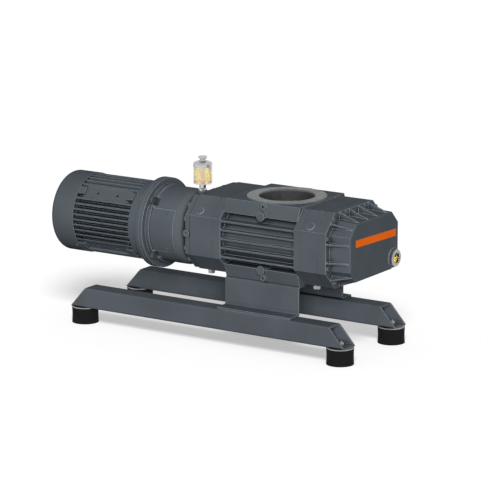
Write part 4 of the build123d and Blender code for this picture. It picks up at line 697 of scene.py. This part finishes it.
def dress(finish: Finish, *nodes: str) -> None:
    """Give CAD nodes a finish through their material slots.

    Args:
        finish: the finish.
        nodes: the nodes' names.
    """
    material = finish.build()
    for node in nodes:
        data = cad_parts[node].data
        if not data.materials:
            data.materials.append(material)
        for index in range(len(data.materials)):
            data.materials[index] = material
        log.info("dressed %s in %s", node, finish.name)


def middle_of(box: tuple[Vector, Vector]) -> Vector:
    """Return the centre of a box."""
    return (box[0] + box[1]) / 2


# ---------------------------------------------------------------- sub-assemblies


@dataclass
class FloorFrame:
    """Two rails on rubber buffers, with the bent pedestals that carry the pump."""

    bead: float = 2.6 * MM
    bead_steps: int = 46
    bead_facets: int = 8
    bead_inset: float = 4.0 * MM
    bead_ripple: float = 0.14
    bead_end: float = 0.25

    def weld(self, side: Side) -> None:
        """Lay a rippled weld bead along a pedestal's foot.

        Args:
            side: the side of the pump.
        """
        name = "near_pedestal" if side is Side.NEAR else "far_pedestal"
        low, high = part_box(name)
        edge_y = low.y if side is Side.NEAR else high.y
        z = low.z

        def build(content: bmesh.types.BMesh) -> None:
            """Fill the bead as overlapping round steps along X."""
            rings = []
            around = self.bead_facets
            length = high.x - low.x - 2 * self.bead_inset
            for i in range(self.bead_steps + 1):
                share = i / self.bead_steps
                x = low.x + self.bead_inset + length * share
                swell = self.bead * (1 - self.bead_ripple * (1 - math.cos(math.pi * i)))
                taper = min(1.0, 4 * share + self.bead_end, 4 * (1 - share) + self.bead_end)
                rings.append([content.verts.new((x, edge_y + swell * taper * math.cos(a),
                                                 z + swell * taper * math.sin(a)))
                              for a in (2 * math.pi * k / around for k in range(around))])
            for a_ring, b_ring in zip(rings, rings[1:]):
                for k in range(around):
                    m = (k + 1) % around
                    content.faces.new((a_ring[k], a_ring[m], b_ring[m], b_ring[k]))
            content.faces.new(list(reversed(rings[0])))
            content.faces.new(rings[-1])

        new_piece(f"{name}_weld", build, FRAME_PAINT)

    def build(self) -> None:
        """Dress the frame and add its welds."""
        dress(FRAME_PAINT, "near_rail", "far_rail", "near_pedestal", "far_pedestal")
        dress(RUBBER, "foot_buffers")
        dress(BRIGHT_ZINC, "foot_plates", "foot_nuts", "frame_bolts")
        dress(GROUND_STEEL, "foot_inserts")
        for side in Side:
            self.weld(side)


@dataclass
class PumpBody:
    """Cylinder, end housings and gear cover, with the parts on them."""

    chamfer: float = 48.0 * MM
    line_w: float = 0.8 * MM
    line_proud: float = 0.16 * MM
    port_ring_r: float = 108.5 * MM
    port_ring_h: float = 2.0 * MM
    port_shift: float = 7.0 * MM
    bore_r: float = 75.0 * MM
    glass_boss_t: float = 3.0 * MM
    sight_rim: float = 2.4 * MM
    sight_depth: float = 7.0 * MM
    sight_back_t: float = 1.2 * MM
    sight_cone: float = 2.4 * MM
    sight_oil_start: float = 2.8 * MM
    sight_oil_gap: float = 0.15 * MM
    sight_level: float = 1.0 * MM
    sight_steps: int = 24
    strip_h: float = 20.0 * MM
    strip_ends: tuple[float, float] = (-97.0 * MM, 111.0 * MM)
    strip_rise: tuple[float, float] = (26.0 * MM, 19.5 * MM)
    strip_t: float = 0.4 * MM

    def outline(self, half_w: float, half_h: float) -> list[tuple[float, float]]:
        """Return the housings' eight corners about the pump axis."""
        points = []
        for sy, sz in ((1, 1), (-1, 1), (-1, -1), (1, -1)):
            steep = (sy * half_w, sz * (half_h - self.chamfer))
            flat = (sy * (half_w - self.chamfer), sz * half_h)
            points += [steep, flat] if sy * sz > 0 else [flat, steep]
        return points

    def joint_lines(self) -> None:
        """Add the thin dark line of jointing paste at each housing joint."""
        low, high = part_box("drive_side_housing")
        centre = (low + high) / 2
        half_w = (high.y - low.y) / 2
        half_h = (high.z - low.z) / 2
        places = {
            "seal_cover_joint": low.x,
            "drive_side_joint": high.x,
            "gear_side_joint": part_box("gear_side_housing")[0].x,
            "gear_cover_joint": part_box("gear_side_housing")[1].x,
        }
        for name, x in places.items():
            new_piece(name, lambda content, x=x: band(
                content, self.outline(half_w, half_h), x - self.line_w / 2, x + self.line_w / 2,
                self.line_proud, centre), JOINT_PASTE, smooth=False)

    def strip(self) -> None:
        """Add the bare orange strip on the gear cover's end face."""
        face_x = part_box("gear_cover")[1].x - self.glass_boss_t
        axis_z = middle_of(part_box("drive_side_housing")).z
        start, end = self.strip_ends
        rise, fall = self.strip_rise
        centre = Vector((face_x, (start + end) / 2, axis_z + (rise + fall) / 2))
        tilt = math.atan2(fall - rise, end - start)
        lie = Matrix.Translation(centre) @ Matrix(
            ((0, 0, 1, 0), (1, 0, 0, 0), (0, 1, 0, 0), (0, 0, 0, 1))) @ Matrix.Rotation(tilt, 4, "Z")
        half_w = math.hypot(end - start, fall - rise) / 2
        new_piece("orange_strip", lambda content: rounded_plate(
            content, half_w, self.strip_h / 2, self.strip_t, 0.8 * MM, lie), ORANGE_FILM, smooth=False)

    def sight_glass(self) -> None:
        """Add the oil that shows behind the sight glass, and a black disc of painted shade at its back."""
        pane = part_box("sight_glass_pane")
        centre = middle_of(pane)
        radius = (pane[1].z - pane[0].z) / 2 - self.sight_rim
        back_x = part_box("gear_cover")[1].x - self.sight_depth
        plane = facing(Vector((1, 0, 0)), Vector((back_x, centre.y, centre.z)))
        # painted shade: a near-black disc at the back of the glass's bore, where the inside lies in shade
        new_piece("sight_shade_disc", lambda content: turn(
            content, [(0.0, 0.0), (radius, 0.0), (radius, self.sight_back_t),
                      (radius * 0.7, self.sight_back_t), (radius * 0.3, self.sight_cone),
                      (0.0, self.sight_cone)], plane, 32),
            SIGHT_SHADE_DISC)

        def oil(content: bmesh.types.BMesh) -> None:
            """Fill the lower part of the glass's bore up to the level."""
            half = math.acos(-self.sight_level / radius)
            front_x = pane[0].x - self.sight_oil_gap
            start_x = back_x + self.sight_oil_start
            edge = [(radius * math.sin(a), -radius * math.cos(a))
                    for a in (-half + 2 * half * i / self.sight_steps
                              for i in range(self.sight_steps + 1))]
            back = [content.verts.new((start_x, centre.y + y, centre.z + z)) for y, z in edge]
            front = [content.verts.new((front_x, centre.y + y, centre.z + z)) for y, z in edge]
            content.faces.new(back)
            content.faces.new(list(reversed(front)))
            for i in range(len(edge)):
                j = (i + 1) % len(edge)
                content.faces.new((back[i], front[i], front[j], back[j]))

        new_piece("sight_oil", oil, SIGHT_OIL)

    def build(self) -> None:
        """Dress the pump's body and add its thin pieces."""
        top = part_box("cylinder_housing")[1].z
        port_x = (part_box("near_pedestal")[0].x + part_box("near_pedestal")[1].x) / 2 + self.port_shift
        centre = (port_x, 0.0, middle_of(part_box("drive_side_housing")).z)
        ported = PortedEnamel("cylinder_enamel", centre=centre, ring_r=self.port_ring_r,
                              bore_r=self.bore_r, ring_z=top - self.port_ring_h / 2)
        dress(ported, "cylinder_housing")
        dress(CAST_PAINT, "drive_side_housing", "gear_side_housing", "gear_cover", "seal_cover")
        dress(DARK_ZINC, "cover_bolts", "seal_side_bolts")
        dress(BRIGHT_ZINC, "drain_plugs")
        dress(RING_ALLOY, "sight_glass_ring")
        dress(SIGHT_PANE, "sight_glass_pane")
        dress(SEAL_RUBBER, "shaft_seal")
        self.joint_lines()
        self.strip()
        self.sight_glass()


@dataclass
class Rotors:
    """Lobed rotors, their shafts, bearings and timing gears."""

    def build(self) -> None:
        """Dress the rotating parts."""
        dress(ROTOR_IRON, "drive_rotor", "driven_rotor", "chamber_seals")
        dress(GROUND_STEEL, "drive_shaft", "driven_shaft", "drive_timing_gear", "driven_timing_gear",
              "drive_lock_nut", "driven_lock_nut", "bearing_outer_rings", "drive_bearing_cores",
              "driven_bearing_cores", "oil_slinger")


@dataclass
class Drive:
    """Lantern with its guards, and the coupling inside it."""

    screw_r: float = 3.4 * MM
    screw_h: float = 2.0 * MM
    screw_angle: float = 28.0
    screw_inset: float = 26.0 * MM

    def guard_screws(self) -> None:
        """Add two small screws on each guard plate."""
        low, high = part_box("coupling_guards")
        axis = Vector((0.0, middle_of(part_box("lantern")).y, middle_of(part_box("lantern")).z))
        radius = (high.y - low.y) / 2

        def build(content: bmesh.types.BMesh) -> None:
            """Fill the screws on both guards."""
            for side in Side:
                for up in (-1, 1):
                    a = math.radians(self.screw_angle) * up
                    out = Vector((0.0, side.value * math.cos(a), math.sin(a)))
                    at = Vector((high.x - self.screw_inset, axis.y, axis.z)) + out * radius
                    socket_screw(content, facing(out, at), self.screw_r, self.screw_h)

        new_piece("guard_screws", build, DARK_ZINC)

    def build(self) -> None:
        """Dress the lantern and the coupling."""
        dress(CAST_PAINT, "lantern", "coupling_guards")
        dress(GROUND_STEEL, "motor_coupling_hub", "pump_coupling_hub")
        dress(SPIDER_RED, "coupling_spider")
        self.guard_screws()


@dataclass
class Motor:
    """Finned flange motor with its fan cover and terminal box."""

    lid_screw_r: float = 3.2 * MM
    lid_screw_h: float = 2.2 * MM
    lid_screw_sink: float = 0.4 * MM
    lid_screw_inset: float = 11.0 * MM
    cowl_screw_r: float = 3.6 * MM
    cowl_screw_h: float = 2.0 * MM
    cowl_screw_inset: float = 9.0 * MM

    def lid_screws(self) -> None:
        """Add the four screws of the terminal box's lid."""
        low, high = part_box("terminal_box_lid")

        def build(content: bmesh.types.BMesh) -> None:
            """Fill the lid's screws."""
            for x in (low.x + self.lid_screw_inset, high.x - self.lid_screw_inset):
                for z in (low.z + self.lid_screw_inset, high.z - self.lid_screw_inset):
                    at = Vector((x, high.y - self.lid_screw_sink, z))
                    socket_screw(content, facing(Vector((0, 1, 0)), at), self.lid_screw_r,
                                 self.lid_screw_h)

        new_piece("lid_screws", build, BRIGHT_ZINC)

    def cowl_screws(self) -> None:
        """Add the screws that hold the fan cover on the rear shield."""
        low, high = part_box("fan_cover")
        centre = (low + high) / 2
        radius = (high.y - low.y) / 2

        def build(content: bmesh.types.BMesh) -> None:
            """Fill four screws round the cowl's open edge."""
            for index in range(4):
                a = math.radians(45 + 90 * index)
                out = Vector((0.0, math.cos(a), math.sin(a)))
                at = Vector((high.x - self.cowl_screw_inset, centre.y, centre.z)) + out * radius
                socket_screw(content, facing(out, at), self.cowl_screw_r, self.cowl_screw_h)

        new_piece("cowl_screws", build, DARK_ZINC)

    def build(self) -> None:
        """Dress the motor and add its screws."""
        dress(MOTOR_PAINT, "motor_frame", "motor_front_shield", "motor_rear_shield", "fan_cover",
              "terminal_box", "terminal_box_lid")
        dress(DARK_ZINC, "motor_flange_bolts")
        dress(SHEET_STACK, "stator_core", "motor_rotor_core")
        dress(COPPER, "stator_windings")
        dress(GROUND_STEEL, "motor_shaft", "motor_bearing_outers", "motor_bearing_inners")
        dress(FAN_BLACK, "motor_fan")
        dress(GLAND_GREY, "cable_gland")
        self.lid_screws()
        self.cowl_screws()


@dataclass
class Oiler:
    """Glass oiler: stem, cup with its oil and stand tube, cap and flow knob."""

    seal_w: float = 2.2 * MM
    seal_h: float = 1.6 * MM
    seal_lift: float = 3.2 * MM
    seal_inset: float = 2.7 * MM
    amber_lift: float = 1.0 * MM
    amber_fade: float = 7.0 * MM
    tube_gap: float = 0.1 * MM
    wetting: float = 0.3 * MM
    oil_corner: float = 2.0 * MM

    def floor_seal(self) -> None:
        """Add the seal ring in the cup's floor."""
        low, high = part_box("oiler_glass")
        centre = (low + high) / 2
        outer = (high.x - low.x) / 2 - self.seal_inset
        inner = outer - self.seal_w
        z = low.z + self.seal_lift
        at = Matrix.Translation((centre.x, centre.y, 0.0))
        new_piece("oiler_floor_seal", lambda content: turn(
            content, [(inner, z), (outer, z), (outer, z + self.seal_h), (inner, z + self.seal_h)], at),
            AMBER)

    def oil_fill(self, oil: Finish) -> None:
        """Fill the cup with oil that wets its wall, in place of the plain solid.

        Args:
            oil: the oil's finish.
        """
        low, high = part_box("oiler_oil")
        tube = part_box("oiler_tube")
        inner = (tube[1].x - tube[0].x) / 2 + self.tube_gap
        outer = (high.x - low.x) / 2 + self.wetting
        foot = low.z - self.wetting
        at = Matrix.Translation(((low.x + high.x) / 2, (low.y + high.y) / 2, 0.0))
        fill = new_piece("oiler_oil_fill", lambda content: turn(
            content, [(inner, foot), (outer - self.oil_corner, foot), (outer, foot + self.oil_corner),
                      (outer, high.z), (inner, high.z)], at, 64), oil)
        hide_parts("oiler_oil")

    def build(self) -> None:
        """Dress the oiler and add its oil and its seal."""
        oil_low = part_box("oiler_oil")[0]
        oil = Clear("bright_oil", colour=(1.0, 0.76, 0.17), deep=(0.90, 0.36, 0.03),
                    deep_z=oil_low.z + self.amber_lift, fade=self.amber_fade, ior=1.16)
        dress(CHROME, "oiler_stem")
        dress(CLEAR_GLASS, "oiler_glass")
        self.oil_fill(oil)
        dress(SATIN_ALLOY, "oiler_tube", "oiler_cap", "oiler_knob")
        self.floor_seal()


# ---------------------------------------------------------------- studio


@dataclass
class Studio:
    """Plain pale floor, soft light and the camera."""

    azimuth: float = 32.97
    elevation: float = 13.05
    distance: float = 8.837
    target: Point = (-0.0945, 0.1843, 0.2)
    lens: float = 232.0
    sensor: float = 36.0
    floor_half: float = 12.0
    floor_lift: float = 0.45
    floor_albedo: float = 0.8
    bounce_albedo: float = 0.08
    world_light: float = 0.25
    key_power: float = 3.15
    key_azimuth: float = 32.0
    key_elevation: float = 19.0
    key_spread: float = 26.0
    fill_power: float = 1.5
    fill_azimuth: float = 212.0
    fill_elevation: float = 8.0
    fill_spread: float = 40.0
    floor_power: float = 2.4
    floor_azimuth: float = 33.0
    floor_elevation: float = 42.0
    floor_spread: float = 20.0

    def direction(self, azimuth: float, elevation: float) -> Vector:
        """Return the way from the pump to a place at an azimuth and an elevation, in degrees."""
        a, e = math.radians(azimuth), math.radians(elevation)
        return Vector((math.sin(a) * math.cos(e), -math.cos(a) * math.cos(e), math.sin(e)))

    def camera(self) -> None:
        """Set up the camera."""
        data = bpy.data.cameras.new("studio_camera")
        data.lens = self.lens
        data.sensor_width = self.sensor
        data.clip_start = 0.1
        data.clip_end = 60.0
        camera = bpy.data.objects.new("studio_camera", data)
        bpy.context.scene.collection.objects.link(camera)
        back = self.direction(self.azimuth, self.elevation)
        camera.location = Vector(self.target) + back * self.distance
        camera.rotation_mode = "QUATERNION"
        camera.rotation_quaternion = (-back).to_track_quat("-Z", "Y")
        bpy.context.scene.camera = camera

    def floor(self) -> bpy.types.Object:
        """Lay the floor: white to the camera, dim to bounced light, so that undersides stay dark.

        Returns:
            The floor.
        """
        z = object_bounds()[0].z
        mesh = bpy.data.meshes.new("studio_floor")
        content = bmesh.new()
        half = self.floor_half
        content.faces.new([content.verts.new((x, y, z)) for x, y in
                           ((-half, -half), (half, -half), (half, half), (-half, half))])
        content.to_mesh(mesh)
        content.free()
        floor = bpy.data.objects.new("studio_floor", mesh)
        bpy.context.scene.collection.objects.link(floor)
        floor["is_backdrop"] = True
        graph = Graph("floor_white")
        seen = self.seen_directly(graph)
        tone = graph.mix(seen, (self.bounce_albedo,) * 3, (self.floor_albedo,) * 3)
        diffuse = graph.add("ShaderNodeBsdfDiffuse")
        graph.link(tone, diffuse.inputs["Color"])
        lift = graph.add("ShaderNodeEmission")
        graph.link(graph.math("MULTIPLY", seen, self.floor_lift), lift.inputs["Strength"])
        both = graph.add("ShaderNodeAddShader")
        graph.link(diffuse.outputs["BSDF"], both.inputs[0])
        graph.link(lift.outputs["Emission"], both.inputs[1])
        graph.link(both.outputs["Shader"], graph.output.inputs["Surface"])
        floor.data.materials.append(graph.material)
        return floor

    @staticmethod
    def seen_directly(graph: Graph) -> bpy.types.NodeSocket:
        """Return 1 for camera, glossy and transmission rays, and 0 for the rest."""
        path = graph.add("ShaderNodeLightPath")
        glossy = graph.math("MAXIMUM", path.outputs["Is Camera Ray"], path.outputs["Is Glossy Ray"])
        return graph.math("MAXIMUM", glossy, path.outputs["Is Transmission Ray"])

    def world(self) -> None:
        """Light the studio evenly, with a white backdrop for what looks at it directly."""
        world = bpy.data.worlds.new("studio_world")
        world.use_nodes = True
        bpy.context.scene.world = world
        tree = world.node_tree
        tree.nodes.clear()
        path = tree.nodes.new("ShaderNodeLightPath")
        strength = tree.nodes.new("ShaderNodeMapRange")
        strength.inputs["To Min"].default_value = self.world_light
        strength.inputs["To Max"].default_value = 1.0
        first = tree.nodes.new("ShaderNodeMath")
        first.operation = "MAXIMUM"
        second = tree.nodes.new("ShaderNodeMath")
        second.operation = "MAXIMUM"
        tree.links.new(path.outputs["Is Camera Ray"], first.inputs[0])
        tree.links.new(path.outputs["Is Glossy Ray"], first.inputs[1])
        tree.links.new(first.outputs[0], second.inputs[0])
        tree.links.new(path.outputs["Is Transmission Ray"], second.inputs[1])
        tree.links.new(second.outputs[0], strength.inputs["Value"])
        background = tree.nodes.new("ShaderNodeBackground")
        tree.links.new(strength.outputs["Result"], background.inputs["Strength"])
        output = tree.nodes.new("ShaderNodeOutputWorld")
        tree.links.new(background.outputs["Background"], output.inputs["Surface"])

    def lamp(self, name: str, power: float, azimuth: float, elevation: float,
             spread: float) -> bpy.types.Object:
        """Add a broad soft lamp.

        Args:
            name: the lamp's name.
            power: its strength.
            azimuth: where it stands, in degrees.
            elevation: how high it stands, in degrees.
            spread: how wide it looks, in degrees.

        Returns:
            The lamp.
        """
        data = bpy.data.lights.new(name, "SUN")
        data.energy = power
        data.angle = math.radians(spread)
        lamp = bpy.data.objects.new(name, data)
        bpy.context.scene.collection.objects.link(lamp)
        lamp.rotation_mode = "QUATERNION"
        lamp.rotation_quaternion = (-self.direction(azimuth, elevation)).to_track_quat("-Z", "Y")
        return lamp

    def build(self) -> None:
        """Set up the camera, the floor and the lights; the floor's own lamp lights nothing else."""
        bpy.context.scene.view_settings.view_transform = "Standard"
        self.camera()
        floor = self.floor()
        self.world()
        key = self.lamp("studio_key", self.key_power, self.key_azimuth, self.key_elevation,
                        self.key_spread)
        key.visible_glossy = False
        fill = self.lamp("studio_fill", self.fill_power, self.fill_azimuth, self.fill_elevation,
                         self.fill_spread)
        fill.visible_glossy = False
        floor_lamp = self.lamp("studio_floor_lamp", self.floor_power, self.floor_azimuth,
                               self.floor_elevation, self.floor_spread)
        for lamp, name, state in ((floor_lamp, "floor_only", "INCLUDE"), (key, "not_floor", "EXCLUDE")):
            receivers = bpy.data.collections.new(name)
            receivers.objects.link(floor)
            receivers.collection_objects[0].light_linking.link_state = state
            lamp.light_linking.receiver_collection = receivers
        fill.light_linking.receiver_collection = key.light_linking.receiver_collection


def main() -> None:
    """Build every sub-assembly in order, then the studio."""
    logging.basicConfig(level=logging.INFO, format="%(name)s: %(message)s")
    assemblies: Iterable[object] = (FloorFrame(), PumpBody(), Rotors(), Drive(), Motor(), Oiler())
    for assembly in assemblies:
        log.info("building %s", type(assembly).__name__)
        assembly.build()
    Studio().build()


if __name__ == "__main__":
    main()
